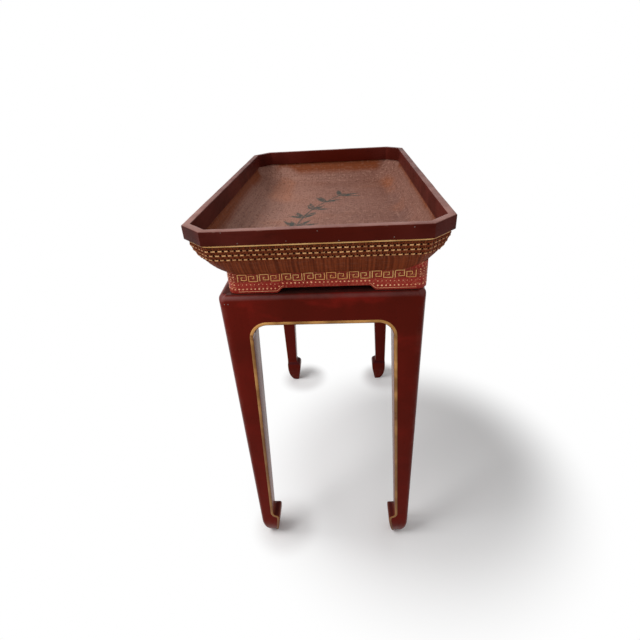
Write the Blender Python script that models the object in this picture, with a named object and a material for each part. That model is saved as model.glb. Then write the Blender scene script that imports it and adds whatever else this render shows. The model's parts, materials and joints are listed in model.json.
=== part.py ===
"""Tray table: an octagonal basket tray that lifts off a red lacquered stand.

Metres, +Z up. The origin is on the floor under the middle of the stand. X runs across the narrow
way and Y along the length. The tray's own zero height is the top of the stand.
"""

import math

import bmesh
import bpy
from mathutils import Vector

# Gap between pieces that touch
CLEARANCE = 0.0003

# Stand: overall sizes and the rounding of its outer corners
STAND_WIDTH = 0.394
STAND_LENGTH = 0.723
STAND_HEIGHT = 0.750
CORNER_RADIUS = 0.018
TOP_EDGE_RADIUS = 0.010

# Top frame, its floating panel and the battens under the panel
RAIL_WIDTH = 0.057
RAIL_THICKNESS = 0.022
PANEL_THICKNESS = 0.010
TONGUE_THICKNESS = 0.005
TONGUE_LENGTH = 0.006
PANEL_BATTEN_WIDTH = 0.030
PANEL_BATTEN_PLACE = 0.130
PANEL_BATTEN_TENON_LENGTH = 0.010
PANEL_BATTEN_TENON_THICKNESS = 0.006

# Legs: widths are measured in from the stand's outer faces, heights from the floor
LEG_WIDTH = 0.0585
ANKLE_WIDTH = 0.035
ANKLE_RADIUS = 0.008
NOTCH_HEIGHT = 0.088
TOE_HEIGHT = 0.082
TOE_REACH = 0.050
TOE_UNDERCUT = 0.007
HOOF_TUCK = 0.020
HOOF_TUCK_HEIGHT = 0.055
LEG_TENON_SIZE = 0.022
LEG_TENON_INSET = 0.014
LEG_TENON_HEIGHT = 0.012

# Aprons, their tenons and the pegs through the tenons
APRON_HEIGHT = 0.041
APRON_THICKNESS = 0.022
SPANDREL_RADIUS = 0.032
SPANDREL_TIP = 0.003
TENON_LENGTH = 0.018
TENON_THICKNESS = 0.009
TENON_HEIGHT = 0.024
PEG_DIAMETER = 0.005
PEG_STAGGER = 0.010
PEG_POINT = 0.003

# Tray rim: an octagon of boards with a lip inside the basket
RIM_WIDTH = 0.470
RIM_LENGTH = 0.793
RIM_CHAMFER = 0.043
RIM_HEIGHT = 0.0255
RIM_THICKNESS = 0.0142
RIM_LIP_HEIGHT = 0.0105
TRAY_HEIGHT = 0.139

# Basket shell, the lattice woven over it and the cane strip under the rim
SHELL_INSET = 0.0068
SHELL_WALL = 0.004
SHELL_FLOOR = 0.006
SHELL_FLOOR_INSET = 0.062
SHELL_CORNER_RADIUS = 0.080
LATTICE_HEIGHT = 0.031
LATTICE_THICKNESS = 0.0015
STRIP_HEIGHT = 0.0045
STRIP_THICKNESS = 0.0027

# Foot frame under the basket: it stands off the middle, and its boards run a little way up the bowl
FOOT_INSET = 0.047
FOOT_SHIFT = 0.011
FOOT_HEIGHT = 0.0405
FOOT_RISE = 0.012
FOOT_THICKNESS = 0.014
FOOT_RADIUS = 0.022
BRACKET_LENGTH = 0.094
BRACKET_SLOPE = 0.0145
BRACKET_LIFT = 0.0105
GLUE_BLOCK_LEG = 0.024
GLUE_BLOCK_HEIGHT = 0.026
FLOOR_BATTEN_WIDTH = 0.028
FLOOR_BATTEN_THICKNESS = 0.012
FLOOR_BATTEN_SPACING = 0.200
FLOOR_BATTEN_HOUSING = 0.007

# Fineness of the curves
CORNER_STEPS = 4
EDGE_STEPS = 4
HOOF_STEPS = 4
SPANDREL_STEPS = 8
PEG_SIDES = 10
BOWL_CORNER_STEPS = 2
LATTICE_STEPS = 3
BOWL_STEPS = 4
SHARP_ANGLE = math.radians(35)
MERGE_DISTANCE = 0.000001

# Form of the bowl's wall, from 1 for a straight slope to 2 for a quarter ellipse
BOWL_POWER = 1.5

# How much a cut corner shortens as its outline moves in: along the rim's boards and down the bowl
RIM_CORNER_CLOSING = 2 - math.sqrt(2)
BOWL_CORNER_CLOSING = 0.22

# Largest share of its neighbours that a rounding may take, and least share of a cut corner that is kept
EDGE_SHARE = 0.9
CORNER_SHARE = 0.45
CHAMFER_SHARE = 0.1

# How far a cutter stands past the face that it cuts
CUT_OVERRUN = 0.006

# Where things meet
HALF_WIDTH = STAND_WIDTH / 2
HALF_LENGTH = STAND_LENGTH / 2
RAIL_BOTTOM = STAND_HEIGHT - RAIL_THICKNESS
APRON_TOP = RAIL_BOTTOM - CLEARANCE
APRON_BOTTOM = APRON_TOP - APRON_HEIGHT
SPANDREL_BOTTOM = APRON_BOTTOM - SPANDREL_RADIUS
LEG_SEAT = LEG_WIDTH - SPANDREL_TIP
TENON_MIDDLE = (APRON_TOP + APRON_BOTTOM) / 2
MITRE_SHIFT = CLEARANCE / math.sqrt(2)
FOOT_HALF_WIDTH = RIM_WIDTH / 2 - FOOT_INSET
FOOT_HALF_LENGTH = RIM_LENGTH / 2 - FOOT_INSET
FOOT_BOTTOM = CLEARANCE
FOOT_TOP = FOOT_BOTTOM + FOOT_HEIGHT
FOOT_BOARD_TOP = FOOT_TOP + FOOT_RISE
RIM_TOP = FOOT_BOTTOM + TRAY_HEIGHT
RIM_BOTTOM = RIM_TOP - RIM_HEIGHT
LIP_BOTTOM = RIM_BOTTOM - RIM_LIP_HEIGHT
SHELL_TOP = RIM_BOTTOM - CLEARANCE
SHELL_BOTTOM = FOOT_TOP + CLEARANCE
SHELL_INNER_INSET = SHELL_INSET + SHELL_WALL
FLOOR_TOP = SHELL_BOTTOM + SHELL_FLOOR

# Outward direction of each side of a rectangle, seen in plan
SIDES = {"front": (0, -1), "right": (1, 0), "back": (0, 1), "left": (-1, 0)}
CORNERS = {
    (-1, -1): "front_left",
    (1, -1): "front_right",
    (-1, 1): "back_left",
    (1, 1): "back_right",
}
RIM_BOARDS = (
    "right",
    "back_right",
    "back",
    "back_left",
    "left",
    "front_left",
    "front",
    "front_right",
)


# Scene helpers


def clear_scene():
    for item in list(bpy.data.objects):
        bpy.data.objects.remove(item, do_unlink=True)


def new_finish(name, colour, roughness, metallic=0.0):
    finish = bpy.data.materials.new(name)
    finish.use_nodes = True
    shader = finish.node_tree.nodes["Principled BSDF"]
    shader.inputs["Base Color"].default_value = (*colour, 1.0)
    shader.inputs["Roughness"].default_value = roughness
    shader.inputs["Metallic"].default_value = metallic
    return finish


def new_body(name, height):
    """An empty that carries the pieces that move together."""
    body = bpy.data.objects.new(name, None)
    body.location = (0.0, 0.0, height)
    bpy.context.collection.objects.link(body)
    return body


def add_object(name, shape, body):
    mesh = bpy.data.meshes.new(name)
    shape.to_mesh(mesh)
    shape.free()
    item = bpy.data.objects.new(name, mesh)
    item.parent = body
    bpy.context.collection.objects.link(item)
    return item


def add_piece(name, shape, finish, body):
    piece = add_object(name, shape, body)
    piece.data.materials.append(finish)
    piece.data.shade_smooth()
    piece.data.set_sharp_from_angle(angle=SHARP_ANGLE)
    return piece


def add_cutter(name, shape, body):
    cutter = add_object(name, shape, body)
    cutter.hide_render = True
    cutter.display_type = "WIRE"
    return cutter


def combine(piece, other, operation):
    step = piece.modifiers.new(other.name, "BOOLEAN")
    step.operation = operation
    step.object = other


# Shapes


def loft(rings, joined=False):
    """A skin over rings of points, closed by flat ends or, if joined, by going round."""
    shape = bmesh.new()
    rows = [[shape.verts.new(point) for point in ring] for ring in rings]
    pairs = list(zip(rows, rows[1:]))
    if joined:
        pairs.append((rows[-1], rows[0]))
    else:
        shape.faces.new(rows[0])
        shape.faces.new(rows[-1])
    for low, high in pairs:
        for k in range(len(low)):
            n = (k + 1) % len(low)
            shape.faces.new((low[k], low[n], high[n], high[k]))
    bmesh.ops.remove_doubles(shape, verts=shape.verts, dist=MERGE_DISTANCE)
    bmesh.ops.recalc_face_normals(shape, faces=shape.faces)
    return shape


def at_height(plan, z):
    return [Vector((x, y, z)) for x, y in plan]


def prism(plan, low, high):
    return loft([at_height(plan, low), at_height(plan, high)])


def rectangle(half_width, half_length):
    return [
        (-half_width, -half_length),
        (half_width, -half_length),
        (half_width, half_length),
        (-half_width, half_length),
    ]


def side_point(side, halves, along, inward):
    """Plan point this far along a side of a rectangle and this far in from its edge."""
    out_x, out_y = SIDES[side]
    x = out_x * (halves[0] - inward) - out_y * along
    y = out_y * (halves[1] - inward) + out_x * along
    return x, y


def side_half(side, halves):
    return halves[0] if SIDES[side][0] == 0 else halves[1]


def side_extrusion(side, halves, elevation, inner, outer):
    """An outline of (along, height) points on one side, given depth from inner to outer."""
    rings = []
    for inward in (inner, outer):
        rings.append([Vector((*side_point(side, halves, u, inward), z)) for u, z in elevation])
    return loft(rings)


def block_elevation(start, end, low, high):
    return [(start, low), (end, low), (end, high), (start, high)]


def quarter_round(steps):
    """Angles of a quarter turn, from 0 to 90 degrees."""
    return [math.pi / 2 * k / steps for k in range(steps + 1)]


def mitred_plan(side, halves, width, radius, edge_inset=0.0):
    """Plan of a frame board with mitred ends, half of each rounded outer corner on it."""
    half = side_half(side, halves)
    reach = radius - edge_inset
    mitre = math.acos(-MITRE_SHIFT / (math.sqrt(2) * reach)) - math.pi / 4
    angles = [math.pi / 2 + (mitre - math.pi / 2) * k / CORNER_STEPS for k in range(CORNER_STEPS + 1)]
    arc = [(half - radius + reach * math.cos(a), radius - reach * math.sin(a)) for a in angles]
    right_end = arc + [(half - width - MITRE_SHIFT, width)]
    left_end = [(-along, inward) for along, inward in reversed(right_end)]
    return [side_point(side, halves, u, v) for u, v in left_end + right_end]


def octagon(inset, closing=RIM_CORNER_CLOSING):
    """Corners of the rim's outer edge, moved in by an inset, anticlockwise from the right side."""
    x = RIM_WIDTH / 2 - inset
    y = RIM_LENGTH / 2 - inset
    cut = max(RIM_CHAMFER - inset * closing, CHAMFER_SHARE * RIM_CHAMFER)
    return [
        (x, cut - y),
        (x, y - cut),
        (x - cut, y),
        (cut - x, y),
        (-x, y - cut),
        (-x, cut - y),
        (cut - x, -y),
        (x - cut, -y),
    ]


def softened(plan, radius):
    """The octagon with each corner turned by a short arc that fits its shortest edge."""
    points = [Vector(point) for point in plan]
    count = len(points)
    turn = 2 * math.pi / count
    shortest = min((points[k] - points[k - 1]).length for k in range(count))
    reach = min(radius * math.tan(turn / 2), CORNER_SHARE * shortest)
    soft = []
    for k, corner in enumerate(points):
        start = corner + (points[k - 1] - corner).normalized() * reach
        end = corner + (points[(k + 1) % count] - corner).normalized() * reach
        for step in range(BOWL_CORNER_STEPS + 1):
            t = step / BOWL_CORNER_STEPS
            soft.append(start * (1 - t) ** 2 + corner * 2 * t * (1 - t) + end * t**2)
    return [tuple(point) for point in soft]


def bowl_ring(inset, z):
    """A level of the basket: square to the rim at its lip, with corners that soften to the floor."""
    below = min(max((LIP_BOTTOM - z) / (LIP_BOTTOM - FLOOR_TOP), 0.0), 1.0)
    closing = RIM_CORNER_CLOSING + (BOWL_CORNER_CLOSING - RIM_CORNER_CLOSING) * below
    return at_height(softened(octagon(inset, closing), SHELL_CORNER_RADIUS * below), z)


# Stand

STAND = (HALF_WIDTH, HALF_LENGTH)


def leg_ring(corner, z, low, high, radius, seat=0.0):
    """Plan of a leg from low to high in from the outer faces, with its outer corner rounded.

    Seat marks the width of the ledge that an apron's spandrel stands on.
    """
    plan = []
    for angle in quarter_round(CORNER_STEPS):
        plan.append((low + radius - radius * math.cos(angle), low + radius - radius * math.sin(angle)))
    plan += [(high - seat, low), (high, low), (high, high), (low, high), (low, high - seat)]
    return at_height([(corner[0] * (HALF_WIDTH - a), corner[1] * (HALF_LENGTH - b)) for a, b in plan], z)


def leg_sections():
    """Height, outer face, inner face, corner radius and seat of a leg, from the floor up."""
    sections = []
    for k in range(HOOF_STEPS + 1):
        below = 1 - k / HOOF_STEPS
        tuck = HOOF_TUCK * (1 - math.sqrt(1 - below**2))
        toe = TOE_REACH - TOE_UNDERCUT * below**2
        sections.append((HOOF_TUCK_HEIGHT * (1 - below), tuck, toe, ANKLE_RADIUS, SPANDREL_TIP))
    ledge = SPANDREL_BOTTOM - CLEARANCE
    tenon_end = LEG_TENON_INSET + LEG_TENON_SIZE
    sections += [
        (TOE_HEIGHT, 0.0, TOE_REACH, ANKLE_RADIUS, SPANDREL_TIP),
        (NOTCH_HEIGHT, 0.0, ANKLE_WIDTH, ANKLE_RADIUS, SPANDREL_TIP),
        (ledge, 0.0, LEG_WIDTH, CORNER_RADIUS, SPANDREL_TIP),
        (ledge, 0.0, LEG_SEAT, CORNER_RADIUS),
        (APRON_TOP, 0.0, LEG_SEAT, CORNER_RADIUS),
        (APRON_TOP, LEG_TENON_INSET, tenon_end, CLEARANCE),
        (APRON_TOP + LEG_TENON_HEIGHT, LEG_TENON_INSET, tenon_end, CLEARANCE),
    ]
    return sections


def add_legs(finish, body):
    legs = {}
    for corner, name in CORNERS.items():
        rings = [leg_ring(corner, *section) for section in leg_sections()]
        legs[corner] = add_piece("leg_" + name, loft(rings), finish, body)
    return legs


def leg_tenon_cutter(corner, body):
    """The mortise in the top frame's corner that takes a leg's tenon."""
    low = LEG_TENON_INSET - CLEARANCE
    high = LEG_TENON_INSET + LEG_TENON_SIZE + CLEARANCE
    bottom = RAIL_BOTTOM - CUT_OVERRUN
    top = APRON_TOP + LEG_TENON_HEIGHT + CLEARANCE
    shape = loft([leg_ring(corner, z, low, high, CLEARANCE) for z in (bottom, top)])
    return add_cutter("cut_leg_tenon_" + CORNERS[corner], shape, body)


def add_top_rails(finish, body):
    rails = {}
    edge_radius = min(TOP_EDGE_RADIUS, EDGE_SHARE * CORNER_RADIUS)
    for side in SIDES:
        levels = [(0.0, RAIL_BOTTOM)]
        for angle in quarter_round(EDGE_STEPS):
            drop = edge_radius * (1 - math.sin(angle))
            levels.append((edge_radius * (1 - math.cos(angle)), STAND_HEIGHT - drop))
        rings = [at_height(mitred_plan(side, STAND, RAIL_WIDTH, CORNER_RADIUS, e), z) for e, z in levels]
        rails[side] = add_piece("top_rail_" + side, loft(rings), finish, body)
    for corner in CORNERS:
        cutter = leg_tenon_cutter(corner, body)
        combine(rails["right" if corner[0] > 0 else "left"], cutter, "DIFFERENCE")
        combine(rails["back" if corner[1] > 0 else "front"], cutter, "DIFFERENCE")
    return rails


def panel_shape(gap):
    """Panel with a tongue all round: gap 0 is its place in the frame, a negative gap its own size."""
    field = (HALF_WIDTH - RAIL_WIDTH + gap, HALF_LENGTH - RAIL_WIDTH + gap)
    tongue = (field[0] + TONGUE_LENGTH, field[1] + TONGUE_LENGTH)
    bottom = STAND_HEIGHT - PANEL_THICKNESS
    tongue_bottom = bottom - CLEARANCE - gap
    tongue_top = bottom + TONGUE_THICKNESS + CLEARANCE + gap
    return loft(
        [
            at_height(rectangle(*tongue), tongue_bottom),
            at_height(rectangle(*tongue), tongue_top),
            at_height(rectangle(*field), tongue_top),
            at_height(rectangle(*field), STAND_HEIGHT),
        ]
    )


def add_panel(finish, rails, body):
    add_piece("top_panel", panel_shape(-CLEARANCE), finish, body)
    groove = add_cutter("cut_panel_groove", panel_shape(0.0), body)
    for rail in rails.values():
        combine(rail, groove, "DIFFERENCE")


def panel_batten_shape(middle, gap):
    """A batten across the frame with a tenon at each end, grown by a gap for its mortises."""
    top = STAND_HEIGHT - PANEL_THICKNESS - 2 * CLEARANCE
    reach = HALF_WIDTH - RAIL_WIDTH - CLEARANCE
    tip = HALF_WIDTH - RAIL_WIDTH + PANEL_BATTEN_TENON_LENGTH + gap
    tenon_low = (RAIL_BOTTOM + top - PANEL_BATTEN_TENON_THICKNESS) / 2 - gap
    tenon_high = tenon_low + PANEL_BATTEN_TENON_THICKNESS + 2 * gap
    right = [
        (reach, RAIL_BOTTOM),
        (reach, tenon_low),
        (tip, tenon_low),
        (tip, tenon_high),
        (reach, tenon_high),
        (reach, top),
    ]
    elevation = right + [(-x, z) for x, z in reversed(right)]
    half = PANEL_BATTEN_WIDTH / 2 + gap
    return loft([[Vector((x, y, z)) for x, z in elevation] for y in (middle - half, middle + half)])


def add_panel_battens(finish, rails, body):
    for name, sign in (("front", -1), ("back", 1)):
        middle = sign * PANEL_BATTEN_PLACE
        add_piece("panel_batten_" + name, panel_batten_shape(middle, 0.0), finish, body)
        cutter = add_cutter("cut_panel_batten_" + name, panel_batten_shape(middle, CLEARANCE), body)
        combine(rails["left"], cutter, "DIFFERENCE")
        combine(rails["right"], cutter, "DIFFERENCE")


def apron_elevation(side):
    """Outline of an apron: straight top, ends against the legs, rounded spandrels below."""
    half = side_half(side, STAND)
    end = half - LEG_SEAT - CLEARANCE
    centre = half - LEG_WIDTH - SPANDREL_RADIUS
    right = []
    for angle in reversed(quarter_round(SPANDREL_STEPS)):
        right.append(
            (
                centre + SPANDREL_RADIUS * math.cos(angle),
                SPANDREL_BOTTOM + SPANDREL_RADIUS * math.sin(angle),
            )
        )
    right += [(end, SPANDREL_BOTTOM), (end, APRON_TOP)]
    return [(-along, z) for along, z in reversed(right)] + right


def tenon_shape(side, end, gap):
    """Tenon at one end of an apron, end -1 or 1, grown by a gap for its mortise."""
    shoulder = side_half(side, STAND) - LEG_SEAT
    start = end * (shoulder - CUT_OVERRUN)
    tip = end * (shoulder + TENON_LENGTH + gap)
    low = TENON_MIDDLE - TENON_HEIGHT / 2 - gap
    high = TENON_MIDDLE + TENON_HEIGHT / 2 + gap
    inner = (APRON_THICKNESS - TENON_THICKNESS) / 2 - gap
    outer = (APRON_THICKNESS + TENON_THICKNESS) / 2 + gap
    return side_extrusion(side, STAND, block_elevation(start, tip, low, high), inner, outer)


def peg_shape(side, end, gap, overrun):
    """Round peg from a leg's inner face through an apron's tenon, grown by a gap for its hole."""
    along = end * (side_half(side, STAND) - LEG_SEAT + TENON_LENGTH / 2)
    level = PEG_STAGGER / 2 if side in ("front", "back") else -PEG_STAGGER / 2
    radius = PEG_DIAMETER / 2 + gap
    outline = []
    for k in range(PEG_SIDES):
        angle = 2 * math.pi * k / PEG_SIDES
        outline.append((along + radius * math.cos(angle), TENON_MIDDLE + level + radius * math.sin(angle)))
    tip = (APRON_THICKNESS - TENON_THICKNESS) / 2 - PEG_POINT - gap
    return side_extrusion(side, STAND, outline, tip, LEG_SEAT + overrun)


def leg_at(side, end):
    """Corner of the leg at one end of a side."""
    x, y = side_point(side, STAND, end * side_half(side, STAND), 0.0)
    return (1 if x > 0 else -1, 1 if y > 0 else -1)


def peg_name(side, corner):
    other = CORNERS[corner].replace(side, "").strip("_")
    return "peg_" + side + "_" + other


def add_aprons(lacquer, peg_wood, legs, body):
    for side in SIDES:
        shape = side_extrusion(side, STAND, apron_elevation(side), 0.0, APRON_THICKNESS)
        apron = add_piece("apron_" + side, shape, lacquer, body)
        for end in (-1, 1):
            corner = leg_at(side, end)
            name = peg_name(side, corner)
            tenon = add_cutter("tenon_" + name, tenon_shape(side, end, 0.0), body)
            mortise = add_cutter("mortise_" + name, tenon_shape(side, end, CLEARANCE), body)
            hole = add_cutter("hole_" + name, peg_shape(side, end, CLEARANCE, CUT_OVERRUN), body)
            combine(apron, tenon, "UNION")
            combine(apron, hole, "DIFFERENCE")
            combine(legs[corner], mortise, "DIFFERENCE")
            combine(legs[corner], hole, "DIFFERENCE")
            add_piece(name, peg_shape(side, end, 0.0, 0.0), peg_wood, body)


def add_stand():
    lacquer = new_finish("stand_lacquer", (0.085, 0.012, 0.008), 0.35)
    bare_wood = new_finish("bare_wood", (0.23, 0.12, 0.06), 0.7)
    body = new_body("stand", 0.0)
    legs = add_legs(lacquer, body)
    rails = add_top_rails(lacquer, body)
    add_panel(lacquer, rails, body)
    add_panel_battens(bare_wood, rails, body)
    add_aprons(lacquer, bare_wood, legs, body)


# Tray


def rim_section():
    """Inset and height of the rim's cross section: a board with a lip inside the basket's edge."""
    lip_outer = SHELL_INNER_INSET + CLEARANCE
    return [
        (0.0, RIM_TOP),
        (RIM_THICKNESS, RIM_TOP),
        (RIM_THICKNESS, LIP_BOTTOM),
        (lip_outer, LIP_BOTTOM),
        (lip_outer, RIM_BOTTOM),
        (0.0, RIM_BOTTOM),
    ]


def add_rim(finish, body):
    half_turn = math.pi / len(RIM_BOARDS)
    shift = CLEARANCE / 2 / math.cos(half_turn)
    for k, name in enumerate(RIM_BOARDS):
        ends = ([], [])
        for inset, z in rim_section():
            corners = octagon(inset)
            start = Vector((*corners[k], z))
            end = Vector((*corners[(k + 1) % len(corners)], z))
            pull = (end - start).normalized() * shift
            ends[0].append(start + pull)
            ends[1].append(end - pull)
        add_piece("rim_" + name, loft(ends), finish, body)


def bowl_angle(drop):
    """Angle round the bowl's wall at a drop below the basket's top edge."""
    share = drop / (SHELL_TOP - SHELL_BOTTOM)
    return math.asin(share ** (BOWL_POWER / 2))


def bowl_shares(angle):
    """Shares of a bowl's width and depth that its wall has left and has gone down at an angle."""
    across = max(math.cos(angle), 0.0)
    return across ** (2 / BOWL_POWER), math.sin(angle) ** (2 / BOWL_POWER)


def outer_curve(angle, offset=0.0):
    """Inset and height on the bowl's outside, moved out by an offset."""
    width = FOOT_INSET - SHELL_INSET
    depth = SHELL_TOP - SHELL_BOTTOM
    left, down = bowl_shares(angle)
    normal = Vector((depth * left ** (BOWL_POWER - 1), width * down ** (BOWL_POWER - 1))).normalized()
    inset = SHELL_INSET + width * (1 - left) - normal.x * offset
    return inset, SHELL_TOP - depth * down - normal.y * offset


def inner_curve(angle):
    width = SHELL_FLOOR_INSET - SHELL_INNER_INSET
    depth = LIP_BOTTOM - FLOOR_TOP
    left, down = bowl_shares(angle)
    return SHELL_INNER_INSET + width * (1 - left), LIP_BOTTOM - depth * down


def spread(start, end, steps):
    return [start + (end - start) * k / steps for k in range(steps + 1)]


def lattice_angles():
    top = STRIP_HEIGHT + CLEARANCE
    return spread(bowl_angle(top), bowl_angle(top + LATTICE_HEIGHT), LATTICE_STEPS)


def add_shell(finish, body):
    lattice = lattice_angles()
    below = spread(lattice[-1], math.pi / 2, BOWL_STEPS)[1:]
    outside = [outer_curve(angle) for angle in [0.0] + lattice + below]
    inside = [(SHELL_INNER_INSET, SHELL_TOP)]
    inside += [inner_curve(angle) for angle in quarter_round(LATTICE_STEPS + BOWL_STEPS)]
    rings = [bowl_ring(*point) for point in list(reversed(outside)) + inside]
    add_piece("basket_shell", loft(rings), finish, body)


def add_lattice(finish, body):
    outside = [outer_curve(angle, CLEARANCE + LATTICE_THICKNESS) for angle in lattice_angles()]
    inside = [outer_curve(angle, CLEARANCE) for angle in reversed(lattice_angles())]
    rings = [bowl_ring(*point) for point in outside + inside]
    add_piece("lattice_band", loft(rings, joined=True), finish, body)


def add_cane_strip(finish, body):
    inner = SHELL_INSET - CLEARANCE
    outer = inner - STRIP_THICKNESS
    bottom = SHELL_TOP - STRIP_HEIGHT
    section = [(inner, SHELL_TOP), (outer, SHELL_TOP), (outer, bottom), (inner, bottom)]
    add_piece("cane_strip", loft([bowl_ring(*point) for point in section], joined=True), finish, body)


FOOT = (FOOT_HALF_WIDTH, FOOT_HALF_LENGTH)


def set_off_middle(shape):
    """Moves a piece of the foot frame to where the frame stands under the basket."""
    bmesh.ops.translate(shape, vec=(FOOT_SHIFT, 0.0, 0.0), verts=shape.verts)
    return shape


def bracket_cutter(side, body):
    """The opening between the two bracket feet of one side."""
    low = side_half(side, FOOT) - BRACKET_LENGTH
    top = FOOT_BOTTOM + BRACKET_LIFT
    right = [(low, FOOT_BOTTOM - CUT_OVERRUN), (low, FOOT_BOTTOM), (low - BRACKET_SLOPE, top)]
    elevation = right + [(-along, z) for along, z in reversed(right)]
    shape = side_extrusion(side, FOOT, elevation, -CUT_OVERRUN, FOOT_THICKNESS + CUT_OVERRUN)
    return add_cutter("cut_bracket_" + side, set_off_middle(shape), body)


def bowl_cutter(body):
    """The lower part of the bowl with a gap round it, which the foot boards are shaped to."""
    top = SHELL_TOP - FOOT_BOARD_TOP - CUT_OVERRUN
    angles = spread(bowl_angle(top), math.pi / 2, BOWL_STEPS)
    rings = [bowl_ring(*outer_curve(angle, CLEARANCE)) for angle in angles]
    return add_cutter("cut_bowl", loft(rings), body)


def add_foot_frame(finish, body):
    rails = {}
    bowl = bowl_cutter(body)
    for side in SIDES:
        plan = mitred_plan(side, FOOT, FOOT_THICKNESS, FOOT_RADIUS)
        shape = set_off_middle(prism(plan, FOOT_BOTTOM, FOOT_BOARD_TOP))
        rails[side] = add_piece("foot_rail_" + side, shape, finish, body)
        combine(rails[side], bracket_cutter(side, body), "DIFFERENCE")
        combine(rails[side], bowl, "DIFFERENCE")
    return rails


def add_glue_blocks(finish, body):
    x = FOOT_HALF_WIDTH - FOOT_THICKNESS - CLEARANCE
    y = FOOT_HALF_LENGTH - FOOT_THICKNESS - CLEARANCE
    for corner, name in CORNERS.items():
        plan = [(x, y), (x - GLUE_BLOCK_LEG, y), (x, y - GLUE_BLOCK_LEG)]
        plan = [(corner[0] * a, corner[1] * b) for a, b in plan]
        shape = set_off_middle(prism(plan, FOOT_TOP - GLUE_BLOCK_HEIGHT, FOOT_TOP))
        add_piece("glue_block_" + name, shape, finish, body)


def floor_batten_shape(middle, gap, overrun):
    """A batten let into the tops of the two long foot boards, grown by a gap for its housings."""
    reach = FOOT_HALF_WIDTH - FOOT_THICKNESS + FLOOR_BATTEN_HOUSING + gap
    half = FLOOR_BATTEN_WIDTH / 2 + gap
    plan = [(x, middle + y) for x, y in rectangle(reach, half)]
    return set_off_middle(prism(plan, FOOT_TOP - FLOOR_BATTEN_THICKNESS - gap, FOOT_TOP + overrun))


def add_floor_battens(finish, rails, body):
    for name, place in (("front", -1), ("middle", 0), ("back", 1)):
        middle = place * FLOOR_BATTEN_SPACING
        add_piece("floor_batten_" + name, floor_batten_shape(middle, 0.0, 0.0), finish, body)
        housing = floor_batten_shape(middle, CLEARANCE, CUT_OVERRUN)
        cutter = add_cutter("cut_floor_batten_" + name, housing, body)
        combine(rails["left"], cutter, "DIFFERENCE")
        combine(rails["right"], cutter, "DIFFERENCE")


def add_tray():
    rim_lacquer = new_finish("rim_lacquer", (0.06, 0.013, 0.009), 0.4)
    weave = new_finish("lacquered_weave", (0.17, 0.075, 0.045), 0.55)
    lattice = new_finish("lattice_cane", (0.16, 0.08, 0.035), 0.5)
    gilt = new_finish("gilt_cane", (0.42, 0.26, 0.10), 0.4, 0.6)
    foot_lacquer = new_finish("foot_lacquer", (0.17, 0.022, 0.017), 0.45)
    bare_wood = new_finish("tray_bare_wood", (0.23, 0.12, 0.06), 0.7)
    body = new_body("tray", STAND_HEIGHT)
    add_rim(rim_lacquer, body)
    add_shell(weave, body)
    add_lattice(lattice, body)
    add_cane_strip(gilt, body)
    rails = add_foot_frame(foot_lacquer, body)
    add_glue_blocks(bare_wood, body)
    add_floor_battens(bare_wood, rails, body)


clear_scene()
add_stand()
add_tray()
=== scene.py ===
"""Looks of a tray table: a woven octagonal tray that lifts off a red lacquered stand.

Metres, +Z up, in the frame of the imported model. The end that faces the camera is at -Y.
"""

import json
import math
import random

import bmesh
import bpy
from mathutils import Matrix, Vector, noise
from mathutils.bvhtree import BVHTree


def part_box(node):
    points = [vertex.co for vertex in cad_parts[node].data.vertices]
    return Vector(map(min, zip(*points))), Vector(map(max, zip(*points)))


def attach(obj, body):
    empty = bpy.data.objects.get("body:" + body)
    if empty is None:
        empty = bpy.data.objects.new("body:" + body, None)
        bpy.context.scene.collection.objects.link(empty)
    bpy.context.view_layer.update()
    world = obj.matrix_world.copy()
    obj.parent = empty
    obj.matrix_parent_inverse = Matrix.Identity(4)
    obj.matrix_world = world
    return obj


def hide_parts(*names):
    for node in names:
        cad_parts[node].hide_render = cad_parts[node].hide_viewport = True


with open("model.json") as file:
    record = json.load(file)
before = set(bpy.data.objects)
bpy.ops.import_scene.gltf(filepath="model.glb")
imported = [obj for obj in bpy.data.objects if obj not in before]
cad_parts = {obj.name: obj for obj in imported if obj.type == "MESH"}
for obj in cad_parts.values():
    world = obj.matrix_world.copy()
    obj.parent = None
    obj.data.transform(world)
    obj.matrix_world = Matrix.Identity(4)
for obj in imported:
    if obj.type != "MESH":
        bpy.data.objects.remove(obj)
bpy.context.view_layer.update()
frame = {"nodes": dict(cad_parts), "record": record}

# Stand, read from the frame
HALF_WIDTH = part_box("top_rail_right")[1].x
HALF_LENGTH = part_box("top_rail_back")[1].y
STAND_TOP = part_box("top_panel")[1].z
RAIL_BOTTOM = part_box("top_rail_front")[0].z
RAIL_WIDTH = HALF_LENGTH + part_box("top_rail_front")[1].y
LEG_WIDTH = HALF_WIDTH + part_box("leg_front_left")[1].x
APRON_THICKNESS = HALF_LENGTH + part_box("apron_front")[1].y
SPANDREL_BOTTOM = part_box("apron_front")[0].z
STAND = (HALF_WIDTH, HALF_LENGTH)

# Stand, as the model has it
CORNER_RADIUS = 0.018
TOP_EDGE_RADIUS = 0.010
SPANDREL_RADIUS = 0.032
SPANDREL_TIP = 0.003
ANKLE_WIDTH = 0.035
ANKLE_RADIUS = 0.008
NOTCH_HEIGHT = 0.088
TOE_HEIGHT = 0.082
TOE_REACH = 0.050

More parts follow.
